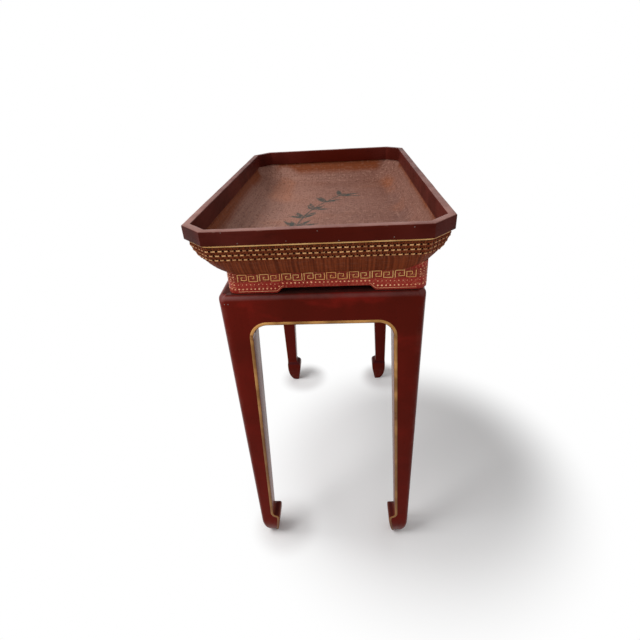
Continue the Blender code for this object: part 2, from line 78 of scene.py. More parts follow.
# Tray, read from the frame
RIM_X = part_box("rim_right")[1].x
RIM_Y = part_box("rim_back")[1].y
RIM_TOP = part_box("rim_front")[1].z
LIP_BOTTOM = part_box("rim_front")[0].z
RIM_THICKNESS = RIM_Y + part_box("rim_front")[1].y
SHELL_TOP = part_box("basket_shell")[1].z
SHELL_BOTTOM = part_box("basket_shell")[0].z
SHELL_INSET = RIM_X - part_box("basket_shell")[1].x
STRIP_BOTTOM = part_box("cane_strip")[0].z
LATTICE_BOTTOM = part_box("lattice_band")[0].z
FOOT_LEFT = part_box("foot_rail_left")[0].x
FOOT_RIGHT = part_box("foot_rail_right")[1].x
FOOT_X = (FOOT_RIGHT - FOOT_LEFT) / 2
FOOT_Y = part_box("foot_rail_back")[1].y
FOOT_SHIFT = (FOOT_RIGHT + FOOT_LEFT) / 2
FOOT_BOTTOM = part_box("foot_rail_front")[0].z
FOOT_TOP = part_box("foot_rail_right")[1].z
FOOT_THICKNESS = FOOT_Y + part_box("foot_rail_front")[1].y
FOOT_INSET = RIM_X - FOOT_X
FLOOR_TOP = next(m for m in frame["record"]["mounts"] if m["name"] == "tray_floor")["pos_m"][2]
FOOT = (FOOT_X, FOOT_Y)
RIM = (RIM_X, RIM_Y)

# Tray, as the model has it
CLEARANCE = 0.0003
RIM_CHAMFER = 0.043
RIM_CORNER_CLOSING = 2 - math.sqrt(2)
SHELL_WALL = 0.004
SHELL_FLOOR_INSET = 0.062
BOWL_POWER = 1.5
BOWL_CORNER_CLOSING = 0.22
BOWL_CORNER_RADIUS = 0.080
CORNER_SHARE = 0.45
FOOT_RADIUS = 0.022
BOARD_SEAT = 0.0006
BRACKET_LENGTH = 0.094
BRACKET_SLOPE = 0.0145
BRACKET_LIFT = 0.0105
RIM_BOTTOM = SHELL_TOP + CLEARANCE
SHELL_INNER_INSET = SHELL_INSET + SHELL_WALL

# Finish of the stand: shoulders and hooves rounder than the model, beads and two pins in one leg
SHOULDER_RADIUS = 0.017
TOE_UNDERCUT = 0.012
HOOF_TUCK = 0.024
HOOF_TUCK_HEIGHT = 0.060
CORNER_WEAR = 0.8
LEG_EASE = 0.0014
JOINT_EASE = 0.0002
NOTCH_SOFTNESS = 0.016
BEAD_RADIUS = 0.0038
BEAD_SEAT = 0.0022
PIN_PLACES = (-0.1832, -0.1760)
PIN_HEIGHT = 0.735

# Finish of the rim: turned edges, hand-planed faces and nails
RIM_TURNS = (0.0024, 0.0018, 0.0010, 0.0, 0.0, 0.0012)
RIM_UNEVEN = 0.0004
RIM_WAVES = 16.0
RIM_SEED = 4
RIM_STEP = 0.012
NAIL_RADIUS = 0.0012
NAIL_DOME = 0.0006
NAIL_FROM_TOP = 0.0040
NAIL_FROM_BOTTOM = 0.0040
UPPER_NAIL_SPACING = 0.150
LOWER_NAIL_SPACING = 0.086
NAIL_SCATTER = 0.009
NAIL_STRAIGHTNESS = 6
NAIL_END_SPACE = 0.5
NAIL_SIZES = (0.7, 1.1)
NAIL_SEED = 8

# Weave of the basket: strands along each side and up the wall, and how far they stand out
LONG_STRANDS = 240
SHORT_STRANDS = 96
CORNER_STRANDS = 10
STRANDS_ROUND = (LONG_STRANDS, CORNER_STRANDS, SHORT_STRANDS, CORNER_STRANDS) * 2
OUTER_ROWS = 26
INNER_ROWS = 30
WEAVE_RELIEF = 0.00022
BODY_RELIEF = 0.00014
FLOOR_SAG = 0.0012
FLOOR_WAVES = 7.0
EDGE_LINES = 14
# How softly the painted shade behind the lattice starts above the lattice's foot
LATTICE_SHADE_SOFTNESS = 0.002

# Open lattice: stakes and three rows of paired strands that close on each stake
LATTICE_UNIT = 0.0106
LATTICE_ROWS = (0.8525, 0.8436, 0.8342)
BAND_POINTS = (2, 8) * 4
STAKE_LEVELS = 6
STAKE_RADIUS = 0.0014
STAKE_SEAT = 0.0004
STRAND_RADIUS = 0.00075
STRAND_CLOSE = 0.0004
STRAND_OPEN = 0.0028
STRAND_SEAT = 0.0002
STRAND_RISE = 0.0016
STRAND_STEPS = 10
STRAND_WAVE = (-0.85, 0.3)
STRAND_STRAY = 0.3
STRAY_PACE = 0.4
STRAY_ROW_STEP = 50.0
STRIP_RADIUS = 0.0019
STRIP_TURN = 0.008
STRIP_POINTS = (1, 8) * 4

# Gilding on the foot frame: key fret, dots along the bracket edge and a fine line on each bracket
FRET_PITCH = 0.0202
FRET_MIDDLE = 0.7826
FRET_CELL = Vector((0.0033, 0.0027))
FRET_RUNS = (5, 5, 4, 3, 2, 1)
FRET_RADIUS = 0.00062
DOT_PITCH = 0.0077
DOT_RADIUS = 0.0017
DOT_LIFT = 0.0096
DOT_DOME = 0.0006
SMALL_DOT_LIFT = 0.0188
SMALL_DOT_SHARE = 0.6
DOT_SIZES = (0.75, 1.1)
DOT_SEED = 3
CORNER_DOT_STEPS = (-0.0075, -0.0025, 0.0025, 0.0075)
LINE_LIFT = 0.0046
LINE_RADIUS = 0.00045

# Ink sprig on the tray's floor
SPRIG_START = Vector((-0.070, -0.150))
SPRIG_END = Vector((0.052, 0.190))
SPRIG_BEND = 0.030
SPRIG_NODES = 5
SPRIG_FIRST = 0.6
SPRIG_STEP = 0.02
SPRIG_SEED = 5
STEM_HALF_WIDTH = 0.0022
LEAF_LENGTH = 0.066
LEAF_HALF_WIDTH = 0.0072
LEAF_SPREAD = (-62, -30, 34, 66)
LEAF_SIZES = (0.65, 1.0)
LEAF_STRAY = 10
LEAF_TAPER = 0.7
INK_SOFTNESS = 0.0022

# Soft limits of cloudy patches, of the gloss on faces seen edge on and of faces that look inwards
CLOUDS = (0.35, 0.65)
SHEEN_FACES = (0.45, 0.85)
INWARD_FACES = (-0.05, -0.10)

# Places where a finish changes: a middle, or where a change starts and where it is full
SMUDGED_TOP = (0.58, 0.68)
SCUFFED_FEET = (0.07, 0.01)
# Painted shade on the stand towards its back
PAINTED_SHADE_BACK = (0.10, 0.34)
END_MIDDLE = 0.03
REDDER_MIDDLE = (0.20, 0.04)
# Painted shade on the rim's left corner boards, on X and on Y
RIM_SHADE_LEFT = (-0.190, -0.212)
RIM_SHADE_ENDS = (0.340, 0.370)
# Dust and a painted sheen on the rim's upper faces, more towards the front
SHEEN_FRONT = (0.10, -0.36)
FRET_BAND_FOOT = (0.7730, 0.7756)
FRET_BAND_HEAD = (0.7945, 0.7915)
FLECKED_FROM = (0.7560, 0.7580)
FOOT_CORNERS = [(half - FOOT_RADIUS, half - FOOT_RADIUS / 2) for half in FOOT]
DARK_PATCH_MIDDLE = -0.18
DARK_PATCH_REACH = (0.06, 0.01)
END_WALL = (0.17, 0.12)
SIDE_WALL = (-0.150, -0.180)
BAND_WOBBLE = 0.006
END_BAND_DROP = 0.020
SIDE_BAND_DROP = 0.016
WARM_BAND = (0.834, 0.854)
# Dust and a painted sheen on the wall above the floor
DUST_AND_SHEEN_WALL = (0.802, 0.820)
# Painted light towards the left of the bowl and painted shade towards its right
PAINTED_LIGHT_LEFT = (0.02, -0.16)
PAINTED_SHADE_RIGHT = (0.02, 0.16)
BOWL_CORNERS = ((0.150, 0.185), (0.310, 0.345))
LATTICE_CORNERS = ((0.170, 0.205), (0.315, 0.345))
# Painted shade behind the lattice's rows and under the strip
LATTICE_GAP_SHADE = (0.0030, 0.0018)
STRIP_GAP_SHADE = (0.0016, 0.0008)
WORN_TOES = (NOTCH_HEIGHT, TOE_HEIGHT - 0.02)
DARKER_DOWN = (0.67, 0.30)

# Fineness of the curves
CORNER_STEPS = 8
EDGE_STEPS = 8
EASE_STEPS = 3
HOOF_STEPS = 10
LEG_LEVELS = 10
SPANDREL_STEPS = 20
TURN_STEPS = 4
SOFT_ROUNDS = 2
CUT_SHARE = 0.25
BEAD_SIDES = 12
DOME_SIDES = 8
DOME_RINGS = ((1.0, 0.0), (0.8, 0.65), (0.4, 1.0))
STRAND_SIDES = 6
SLOPE_STEPS = 8
LINE_STEPS = 32
SHARP_ANGLE = math.radians(35)
QUARTER = math.pi / 2

# Camera, as the photograph was taken, and the light
CAMERA_PLACE = (0.0474, -1.0391, 1.1000)
CAMERA_TURN = math.radians(4.290)
CAMERA_TILT = math.radians(59.263)
CAMERA_ROLL = math.radians(-3.597)
FOCAL_PIXELS = 412.25
FRAME_PIXELS = 640
SENSOR_WIDTH = 36.0
SKY_FILL = 0.50
KEY_PLACE = (-1.6, -0.6, 2.65)
KEY_AIM = (0.0, 0.0, 0.5)
KEY_SIZE = 1.6
KEY_POWER = 53.0
FLOOR_SIZE = 16.0
SHADOW_MIDDLE = (0.25, -0.12, 0.0)
SHADOW_REACH = (0.27, 0.56)
CONTACT_SHIFT = (0.03, 0.0, 0.0)
CONTACT_PLACE = (0.165, 0.33, 0.0)
CONTACT_REACH = (0.05, 0.11)
SEEN_RAYS = ("Is Camera Ray", "Is Glossy Ray", "Is Transmission Ray")

# Outward direction of each side of a rectangle, seen in plan
SIDES = {"front": (0, -1), "right": (1, 0), "back": (0, 1), "left": (-1, 0)}
SIDE_TURNS = {"front": 0.0, "right": QUARTER, "back": math.pi, "left": -QUARTER}
CORNERS = {
    (-1, -1): "front_left",
    (1, -1): "front_right",
    (-1, 1): "back_left",
    (1, 1): "back_right",
}
RIM_BOARDS = (
    "right",
    "back_right",
    "back",
    "back_left",
    "left",
    "front_left",
    "front",
    "front_right",
)

# Points closer than this are one
MERGE_REACH = 1e-6

# Stretches that leave a noise changing along one axis
AXIS_STRETCHES = ((1, 0.02, 0.02), (0.02, 1, 0.02), (0.02, 0.02, 1))


# Node trees


class Wire:
    """An output of a node that joins in sums as a number does."""

    def __init__(self, nodes, socket):
        self.nodes = nodes
        self.socket = socket

    def __add__(self, other):
        return self.nodes.sum("ADD", self, other)

    def __sub__(self, other):
        return self.nodes.sum("SUBTRACT", self, other)

    def __rsub__(self, other):
        return self.nodes.sum("SUBTRACT", other, self)

    def __mul__(self, other):
        return self.nodes.sum("MULTIPLY", self, other)

    __radd__ = __add__
    __rmul__ = __mul__


class Nodes:
    """A node tree that grows by one call for each node."""

    def __init__(self, tree):
        self.tree = tree

    def node(self, kind, settings=None, sockets=None, output=0):
        made = self.tree.nodes.new(kind)
        for key, value in (settings or {}).items():
            setattr(made, key, value)
        self.feed(made, sockets or {})
        return Wire(self, made.outputs[output])

    def feed(self, made, sockets):
        for key, value in sockets.items():
            if isinstance(value, Wire):
                self.tree.links.new(value.socket, made.inputs[key])
            else:
                made.inputs[key].default_value = value

    def sum(self, operation, first, second):
        return self.node("ShaderNodeMath", {"operation": operation}, {0: first, 1: second})

    def mask(self, value, low, high):
        """0 at low, 1 at high, smooth between."""
        settings = {"interpolation_type": "SMOOTHSTEP"}
        return self.node("ShaderNodeMapRange", settings, {"Value": value, "From Min": low, "From Max": high})


class Finish(Nodes):
    """A material that reads the object's own coordinates."""

    def __init__(self, name):
        self.material = bpy.data.materials.new(name)
        self.material.use_nodes = True
        super().__init__(self.material.node_tree)
        self.shader = self.tree.nodes["Principled BSDF"]
        self.place = self.node("ShaderNodeTexCoord", output="Object")

    def noise(self, scale, detail, stretch=(1, 1, 1)):
        place = self.node("ShaderNodeMapping", None, {"Vector": self.place, "Scale": stretch})
        return self.node("ShaderNodeTexNoise", None, {"Vector": place, "Scale": scale, "Detail": detail})

    def patches(self, low, high, scale, detail, stretch=(1, 1, 1)):
        """Noise between soft limits: 0 at low, 1 at high."""
        return self.mask(self.noise(scale, detail, stretch), low, high)

    def mix(self, factor, first, second):
        return self.node("ShaderNodeMix", {"data_type": "RGBA"}, {0: factor, 6: first, 7: second}, output=2)

    def layered(self, colour, *layers):
        """A colour under thin layers, each with its strength and its tone."""
        for strength, shade in layers:
            colour = self.mix(strength, colour, tone(*shade))
        return colour

    def attribute(self, name):
        return self.node("ShaderNodeAttribute", {"attribute_name": name}, output="Fac")

    def axis(self, vector, name):
        return self.node("ShaderNodeSeparateXYZ", None, {0: vector}, output=name)

    def along(self, name):
        """Place on one axis."""
        return self.axis(self.place, name)

    def height(self):
        return self.along("Z")

    def away(self, name, start=0.0):
        """Distance from a place on one axis."""
        return self.sum("ABSOLUTE", self.along(name) - start, 0.0)

    def corners(self, across, along, shift=0.0):
        """1 in the four corners of the tray, from a start to an end on X and on Y."""
        return self.mask(self.away("X", shift), *across) * self.mask(self.away("Y"), *along)

    def lean(self, name="Z"):
        """1 where the surface faces along an axis, 0 where it faces across it and -1 where it faces back."""
        return self.axis(self.node("ShaderNodeTexCoord", output="Normal"), name)

    def inward(self):
        """1 on side faces that look towards the middle."""
        return self.mask(self.along("X") * self.lean("X"), *INWARD_FACES)

    def vector(self, operation, first, second=(0, 0, 0)):
        return self.node("ShaderNodeVectorMath", {"operation": operation}, {0: first, 1: second})

    def distance(self, first, second):
        sockets = {0: first, 1: second}
        return self.node("ShaderNodeVectorMath", {"operation": "DISTANCE"}, sockets, output="Value")

    def sheen(self):
        """Gloss that shows where a face is seen edge on."""
        facing = self.node("ShaderNodeLayerWeight", None, {"Blend": 0.5}, output="Facing")
        return self.mask(facing, *SHEEN_FACES)

    def bump(self, height, depth):
        return self.node("ShaderNodeBump", None, {"Height": height, "Distance": depth})

    def dress(self, sockets):
        self.feed(self.shader, sockets)
        return self.material


def tone(red, green, blue):
    """A colour as a screen shows it, 0 to 255, made linear."""
    linear = []
    for part in (red, green, blue):
        share = part / 255
        linear.append(share / 12.92 if share <= 0.04045 else ((share + 0.055) / 1.055) ** 2.4)
    return (*linear, 1.0)


# Finishes


def stand_lacquer():
    """Cloudy dark red lacquer, smudged at the top and rubbed on its corners, with a painted highlight along
    its upper edge and painted shade on its top face, on upward faces lower down and towards the back.
    """
    coat = Finish("stand_lacquer")
    cloud = coat.patches(*CLOUDS, scale=12, detail=4, stretch=(1, 1, 0.3))
    smudges = coat.patches(0.52, 0.70, scale=18, detail=4, stretch=(0.6, 0.6, 1))
    smudges = smudges * (0.12 + coat.mask(coat.height(), *SMUDGED_TOP) * 0.40)
    dull = coat.patches(0.45, 0.65, scale=6, detail=3)
    scuffs = coat.mask(coat.height(), *SCUFFED_FEET) * coat.patches(0.42, 0.62, scale=70, detail=4)
    drag = coat.noise(scale=60, detail=3, stretch=(1, 1, 0.15))
    grime = coat.patches(0.55, 0.80, scale=130, detail=4)
    rubbed = coat.attribute("wear") * coat.patches(0.40, 0.72, scale=48, detail=5)
    lean = coat.lean()
    top = coat.mask(coat.height(), RAIL_BOTTOM, STAND_TOP - TOP_EDGE_RADIUS)
    # Painted highlight: a pale band along the rails' rounded upper edge.
    edge = coat.mask(lean, 0.05, 0.75) * coat.mask(lean, 1.0, 0.80) * top
    red = coat.layered(
        coat.mix(cloud, tone(93, 23, 14), tone(104, 26, 17)),
        (dull * 0.3, (76, 23, 14)),
        (smudges, (142, 32, 24)),
        (scuffs * 0.5, (112, 72, 58)),
        (coat.inward() * (0.15 + cloud * 0.15), (104, 66, 38)),
        (grime * 0.25, (50, 17, 11)),
        (rubbed * 0.3, (118, 66, 54)),
        # Painted shade: darker towards the back.
        (coat.mask(coat.along("Y"), *PAINTED_SHADE_BACK) * 0.35, (50, 15, 11)),
        # Painted shade on the flat top face, under the tray.
        (coat.mask(lean, 0.97, 1.0) * top * 0.7, (58, 42, 38)),
        # Painted shade on upward faces below the rails, such as the tops of the hooves.
        (coat.mask(lean, 0.3, 0.9) * (1 - top) * 0.6, (54, 22, 26)),
        # The painted highlight along the upper edge.
        (edge * (0.35 + cloud * 0.30), (126, 88, 86)),
    )
    return coat.dress(
        {
            "Base Color": red,
            "Roughness": 0.30 + drag * 0.18,
            "Specular IOR Level": 0.02,
            "Coat Weight": coat.sheen() * 0.5,
            "Coat Roughness": 0.25,
            "Coat Tint": tone(255, 238, 228),
            "Normal": coat.bump(drag + grime * 0.4, 0.0003),
        }
    )


def rim_lacquer():
    """Brown-red lacquer over planed boards, with dust and a painted sheen on its upper faces, most at the
    front, and painted shade on its left corner boards.
    """
    coat = Finish("rim_lacquer")
    cloud = coat.patches(*CLOUDS, scale=11, detail=4)
    drag = coat.noise(scale=34, detail=4, stretch=(1, 1, 5))
    chips = coat.patches(0.58, 0.74, scale=70, detail=5)
    rubbed = coat.attribute("wear") * chips
    middle = coat.mask(coat.away("X", END_MIDDLE), *REDDER_MIDDLE)
    # Painted shade on the rim's left corner boards.
    left = coat.mask(coat.along("X"), *RIM_SHADE_LEFT) * coat.mask(coat.away("Y"), *RIM_SHADE_ENDS)
    front = coat.mask(coat.along("Y"), *SHEEN_FRONT)
    drifts = coat.patches(*CLOUDS, scale=24, detail=4)
    # Dust and a painted sheen on upward faces, strongest at the front.
    dust_and_sheen = coat.mask(coat.lean(), 0.35, 0.95) * (0.10 + front * 0.38 + drifts * 0.25)
    brown = coat.layered(
        coat.mix(cloud, tone(70, 22, 15), tone(88, 33, 26)),
        (middle * 0.8, (80, 19, 8)),
        (coat.mask(drag, 0.5, 0.8) * 0.4, (54, 17, 12)),
        (left * 0.5, (40, 12, 9)),
        (rubbed * 0.5, (150, 112, 100)),
        (dust_and_sheen, (162, 120, 111)),
    )
    return coat.dress(
        {
            "Base Color": brown,
            "Roughness": 0.34 + drag * 0.2,
            "Specular IOR Level": 0.03,
            "Coat Weight": coat.sheen() * 0.1,
            "Coat Roughness": 0.36,
            "Normal": coat.bump(drag + chips * 0.5, 0.0004),
        }
    )


def foot_lacquer():
    """Bright red lacquer, darker behind the gilt fret and worn pale on the corners."""
    coat = Finish("foot_lacquer")
    height = coat.height()
    band = coat.mask(height, *FRET_BAND_FOOT) * coat.mask(height, *FRET_BAND_HEAD)
    corner = coat.corners(*FOOT_CORNERS, shift=FOOT_SHIFT)
    cloud = coat.patches(*CLOUDS, scale=24, detail=4)
    chips = coat.patches(0.42, 0.70, scale=90, detail=5)
    rubbed = coat.attribute("wear") * chips
    flecks = coat.patches(0.54, 0.66, scale=260, detail=2) * coat.mask(height, *FLECKED_FROM)
    red = coat.layered(
        coat.mix(cloud, tone(146, 36, 28), tone(168, 56, 44)),
        (band * 0.7, (122, 46, 28)),
        (rubbed * 0.5, (178, 96, 76)),
        (flecks * (0.25 + corner * 0.5), (222, 152, 112)),
    )
    return coat.dress(
        {
            "Base Color": red,
            "Roughness": 0.42 + chips * 0.2,
            "Specular IOR Level": 0.1,
            "Normal": coat.bump(chips, 0.0003),
        }
    )


def weave_strands(coat):
    """Strand by strand changes along each axis, summed."""
    strands = [coat.noise(scale=380, detail=0, stretch=stretch) for stretch in AXIS_STRETCHES]
    return strands[0] + strands[1] + strands[2]


def wall_streaks(coat):
    """Streaks that run up a wall, whichever way it faces."""
    along_x, along_y = [coat.noise(scale=260, detail=2, stretch=stretch) for stretch in AXIS_STRETCHES[:2]]
    sideways = coat.mask(coat.sum("ABSOLUTE", coat.lean("X"), 0.0), 0.35, 0.55)
    return coat.mask(along_x * (1 - sideways) + along_y * sideways, *CLOUDS)


def inner_browns(coat):
    """Brown inside the basket: worn floor, darker patches on the left, a greyer wall of dust and painted
    sheen, painted light to the left and painted shade to the right, a warm band under the rim, and that
    band's mask.
    """
    cloud = coat.patches(*CLOUDS, scale=9, detail=5)
    worn = coat.patches(0.42, 0.62, scale=5, detail=4)
    dark_patch = coat.mask(coat.away("X", DARK_PATCH_MIDDLE), *DARK_PATCH_REACH)
    dark_patch = dark_patch * coat.patches(0.45, 0.70, scale=9, detail=4)
    across = coat.along("X")
    end_wall = coat.mask(coat.away("X", END_MIDDLE), *END_WALL)
    side_wall = coat.mask(across, *SIDE_WALL)
    level = coat.height() + (cloud - 0.5) * BAND_WOBBLE
    level = level + end_wall * END_BAND_DROP + side_wall * SIDE_BAND_DROP
    warm = coat.mask(level, *WARM_BAND) * (1 - coat.corners(*BOWL_CORNERS))
    brown = coat.layered(
        coat.mix(worn, tone(124, 92, 84), tone(156, 95, 66)),
        # Dust and a painted sheen: greyer on the wall above the floor.
        (coat.mask(level, *DUST_AND_SHEEN_WALL), (138, 99, 87)),
        # Painted light towards the left and painted shade towards the right.
        (coat.mask(across, *PAINTED_LIGHT_LEFT) * 0.6, (168, 124, 108)),
        (coat.mask(across, *PAINTED_SHADE_RIGHT) * 0.4, (116, 72, 58)),
        # Darker patches low on the left of the bowl.
        (dark_patch * 0.25, (112, 84, 76)),
        (warm * 0.9, (122, 60, 27)),
    )
    return brown, warm


def lattice_gap_shade(coat):
    """1 behind the gaps of the lattice's rows and under the strip, where shade is painted."""
    gaps = coat.mask(coat.away("Z", STRIP_BOTTOM), *STRIP_GAP_SHADE)
    for row in LATTICE_ROWS:
        gaps = gaps + coat.mask(coat.away("Z", row), *LATTICE_GAP_SHADE)
    return gaps


def lacquered_weave():
    """Fine woven bamboo under thin brown lacquer, with an ink sprig on the floor, painted shade behind the
    lattice and painted light and shade inside the bowl.
    """
    coat = Finish("lacquered_weave")
    strands = weave_strands(coat)
    inside = coat.attribute("inside")
    speck = coat.noise(scale=210, detail=3, stretch=(0.5, 1, 1))
    fleck = coat.noise(scale=220, detail=3, stretch=(1, 0.5, 1))
    ink = coat.attribute("ink") * coat.mask(speck, 0.30, 0.52)
    outside = coat.mix(wall_streaks(coat), tone(92, 36, 14), tone(130, 60, 30))
    inner, warm = inner_browns(coat)
    marked = 0.05 + inside * (0.39 - warm * 0.30)
    brown = coat.layered(
        coat.mix(inside, outside, inner),
        (coat.mask(strands, 1.30, 1.80) * 0.22, (82, 44, 30)),
        (coat.mask(speck, 0.52, 0.66) * marked, (172, 132, 114)),
        (coat.mask(fleck, 0.48, 0.34) * marked, (84, 50, 38)),
        # Painted shade: near black behind the lattice's gaps and under the strip.
        (coat.attribute("lattice_shade") * lattice_gap_shade(coat) * 0.9, (26, 10, 5)),
        (ink * 0.92, (60, 68, 64)),
    )
    return coat.dress(
        {
            "Base Color": brown,
            "Roughness": 0.50 + speck * 0.2,
            "Specular IOR Level": 0.05,
            "Normal": coat.bump(strands + speck * 0.6, 0.0005),
        }
    )


def lattice_cane():
    """Brown cane with gilding left where the strands stand out."""
    coat = Finish("lattice_cane")
    speck = coat.noise(scale=180, detail=3)
    kept = 0.35 + coat.patches(0.36, 0.60, scale=60, detail=3) * 0.65
    kept = kept * (1 - coat.corners(*LATTICE_CORNERS) * 0.5)
    gilt = coat.mask(coat.attribute("raise"), 0.50, 0.90) * kept
    brown = coat.mix(speck, tone(104, 40, 14), tone(142, 66, 30))
    return coat.dress(
        {
            "Base Color": coat.layered(brown, (gilt, (238, 186, 128))),
            "Roughness": 0.5 - gilt * 0.12,
            "Metallic": gilt * 0.3,
            "Specular IOR Level": 0.12,
            "Normal": coat.bump(speck, 0.0003),
        }
    )


def gilding(name, light, dark, worn_through, shine=0.15):
    """Old gold on wood, rubbed through to brown in places and darker towards the ground."""
    coat = Finish(name)
    speck = coat.noise(scale=150, detail=4)
    worn = coat.patches(*worn_through, scale=38, detail=5)
    worn = coat.sum("MAXIMUM", worn, coat.mask(coat.height(), *WORN_TOES) * 0.6)
    cloud = coat.patches(*CLOUDS, scale=20, detail=2)
    gold = coat.layered(
        coat.mix(cloud, tone(*dark), tone(*light)),
        (coat.mask(coat.height(), *DARKER_DOWN) * 0.65, (112, 76, 48)),
        (worn, (96, 46, 24)),
    )
    return coat.dress(
        {
            "Base Color": gold,
            "Roughness": 0.42 + speck * 0.2,
            "Metallic": (1 - worn) * shine,
            "Specular IOR Level": 0.2,
            "Normal": coat.bump(speck, 0.0002),
        }
    )


def nail_iron():
    coat = Finish("nail_iron")
    rust = coat.patches(0.4, 0.7, scale=900, detail=3)
    return coat.dress(
        {
            "Base Color": coat.mix(rust, tone(128, 108, 100), tone(98, 74, 66)),
            "Roughness": 0.5 + rust * 0.3,
            "Metallic": 0.2 - rust * 0.2,
        }
    )


def bare_wood():
    """Unfinished wood of the hidden pieces, with grain along the length."""
    coat = Finish("bare_wood")
    grain = coat.noise(scale=70, detail=5, stretch=(0.08, 1, 1))
    figure = coat.patches(0.4, 0.7, scale=9, detail=3)
    pale = coat.mix(coat.mask(grain, *CLOUDS), tone(112, 78, 50), tone(152, 112, 76))
    return coat.dress(
        {
            "Base Color": coat.layered(pale, (figure * 0.5, (96, 62, 40))),
            "Roughness": 0.66 + grain * 0.2,
            "Normal": coat.bump(grain, 0.0005),
        }
    )


# Shapes: a ring is a list of points, each with how much it is rubbed


def loft(rings):
    """A skin over rings, closed by flat ends."""
    shape = bmesh.new()
    wear = shape.verts.layers.float.new("wear")
    rows = []
    for ring in rings:
        row = []
        for point, rub in ring:
            corner = shape.verts.new(point)
            corner[wear] = rub
            row.append(corner)
        rows.append(row)
    shape.faces.new(rows[0])
    shape.faces.new(rows[-1])
    join_rows(shape, rows)
    bmesh.ops.remove_doubles(shape, verts=shape.verts, dist=MERGE_REACH)
    bmesh.ops.recalc_face_normals(shape, faces=shape.faces)
    return shape


def join_rows(shape, rows):
    for low, high in zip(rows, rows[1:]):
        for k in range(len(low)):
            n = (k + 1) % len(low)
            shape.faces.new((low[k], low[n], high[n], high[k]))


def arc(centre, radius, start, turn, steps, rub=0.0):
    """Points (x, y, wear) round an arc, rubbed most in its middle."""
    points = []
    for k in range(steps + 1):
        share = k / steps
        angle = start + turn * share
        x = centre[0] + radius * math.cos(angle)
        y = centre[1] + radius * math.sin(angle)
        points.append((x, y, rub * math.sin(math.pi * share)))
    return points


def rounded(outline, turns):
    """An outline with each corner turned by its own radius, as (x, y, wear)."""
    corners = [Vector(point) for point in outline]
    soft = []
    for k, corner in enumerate(corners):
        if turns[k] == 0:
            soft.append((corner.x, corner.y, 0.0))
            continue
        start = corner + (corners[k - 1] - corner).normalized() * turns[k]
        end = corner + (corners[(k + 1) % len(corners)] - corner).normalized() * turns[k]
        for step, point in enumerate(bend(start, corner, end)):
            soft.append((point.x, point.y, math.sin(math.pi * step / TURN_STEPS)))
    return soft


def bend(start, corner, end):
    """Points of a rounding from start to end round a corner."""
    points = []
    for step in range(TURN_STEPS + 1):
        t = step / TURN_STEPS
        points.append(start * (1 - t) ** 2 + corner * 2 * t * (1 - t) + end * t**2)
    return points


def softened(path):
    """A path with its corners cut, so that it bends softly."""
    for _ in range(SOFT_ROUNDS):
        soft = [path[0]]
        for first, second in zip(path, path[1:]):
            soft.append(first.lerp(second, CUT_SHARE))
            soft.append(first.lerp(second, 1 - CUT_SHARE))
        path = soft + [path[-1]]
    return path


def shifted(path, distance):
    """A flat path moved to its left by a distance."""
    steps = [(second - first).normalized() for first, second in zip(path, path[1:])]
    lefts = [Vector((-step.y, step.x)) for step in steps]
    moved = []
    for k, point in enumerate(path):
        before = lefts[max(k - 1, 0)]
        after = lefts[min(k, len(lefts) - 1)]
        moved.append(point + (before + after) * distance / (1 + before.dot(after)))
    return moved


def smooth_step(share):
    share = min(max(share, 0.0), 1.0)
    return share * share * (3 - 2 * share)


def side_point(side, halves, along, inward):
    """Plan point this far along a side of a rectangle and this far in from its edge."""
    out_x, out_y = SIDES[side]
    x = out_x * (halves[0] - inward) - out_y * along
    y = out_y * (halves[1] - inward) + out_x * along
    return x, y


def side_half(side, halves):
    return halves[0] if SIDES[side][0] == 0 else halves[1]


def mirrored(half):
    """The other half of an outline, given as tuples that start with X."""
    return [(-x, *rest) for x, *rest in reversed(half)]


def octagon(inset, closing=RIM_CORNER_CLOSING):
    """Corners of the rim's outer edge, moved in by an inset, anticlockwise from the right side."""
    x = RIM_X - inset
    y = RIM_Y - inset
    cut = RIM_CHAMFER - inset * closing
    return [
        Vector((x, cut - y)),
        Vector((x, y - cut)),
        Vector((x - cut, y)),
        Vector((cut - x, y)),
        Vector((-x, y - cut)),
        Vector((-x, cut - y)),
        Vector((cut - x, -y)),
        Vector((x - cut, -y)),
    ]


def bowl_level(inset, height):
    """Corners of a level of the bowl, and how far back from each corner its rounding starts."""
    below = min(max((LIP_BOTTOM - height) / (LIP_BOTTOM - FLOOR_TOP), 0.0), 1.0)
    closing = RIM_CORNER_CLOSING + (BOWL_CORNER_CLOSING - RIM_CORNER_CLOSING) * below
    corners = octagon(inset, closing)
    shortest = (corners[2] - corners[1]).length
    reach = min(BOWL_CORNER_RADIUS * below * math.tan(QUARTER / 4), CORNER_SHARE * shortest)
    return corners, reach


def side_path(corners, reach, k):
    """A side of an octagon between its roundings or, at odd places, a cut corner with its roundings."""
    start = corners[k]
    end = corners[(k + 1) % 8]
    pull = (end - start).normalized() * reach
    if k % 2 == 0:
        return [start + pull, end - pull]
    before = (start - corners[k - 1]).normalized() * reach
    after = (corners[(k + 2) % 8] - end).normalized() * reach
    return bend(start - before, start, start + pull) + bend(end - pull, end, end + after)


def ring_points(corners, reach, counts):
    """Plan points round an octagon, so many for each side and each cut corner."""
    points = []
    for k, count in enumerate(counts):
        path = side_path(corners, reach, k)
        points += [along_path(path, step / count) for step in range(count)]
    return points


def path_length(path):
    return sum((second - first).length for first, second in zip(path, path[1:]))


def along_path(path, share):
    """The point at a share of the way along a path."""
    left = share * path_length(path)
    for first, second in zip(path, path[1:]):
        length = (second - first).length
        if left < length:
            return first.lerp(second, left / length)
        left -= length
    return path[-1]


def bowl_shares(angle):
    """Shares of a bowl's width and depth that its wall has left and has gone down at an angle."""
    across = max(math.cos(angle), 0.0)
    return across ** (2 / BOWL_POWER), math.sin(angle) ** (2 / BOWL_POWER)


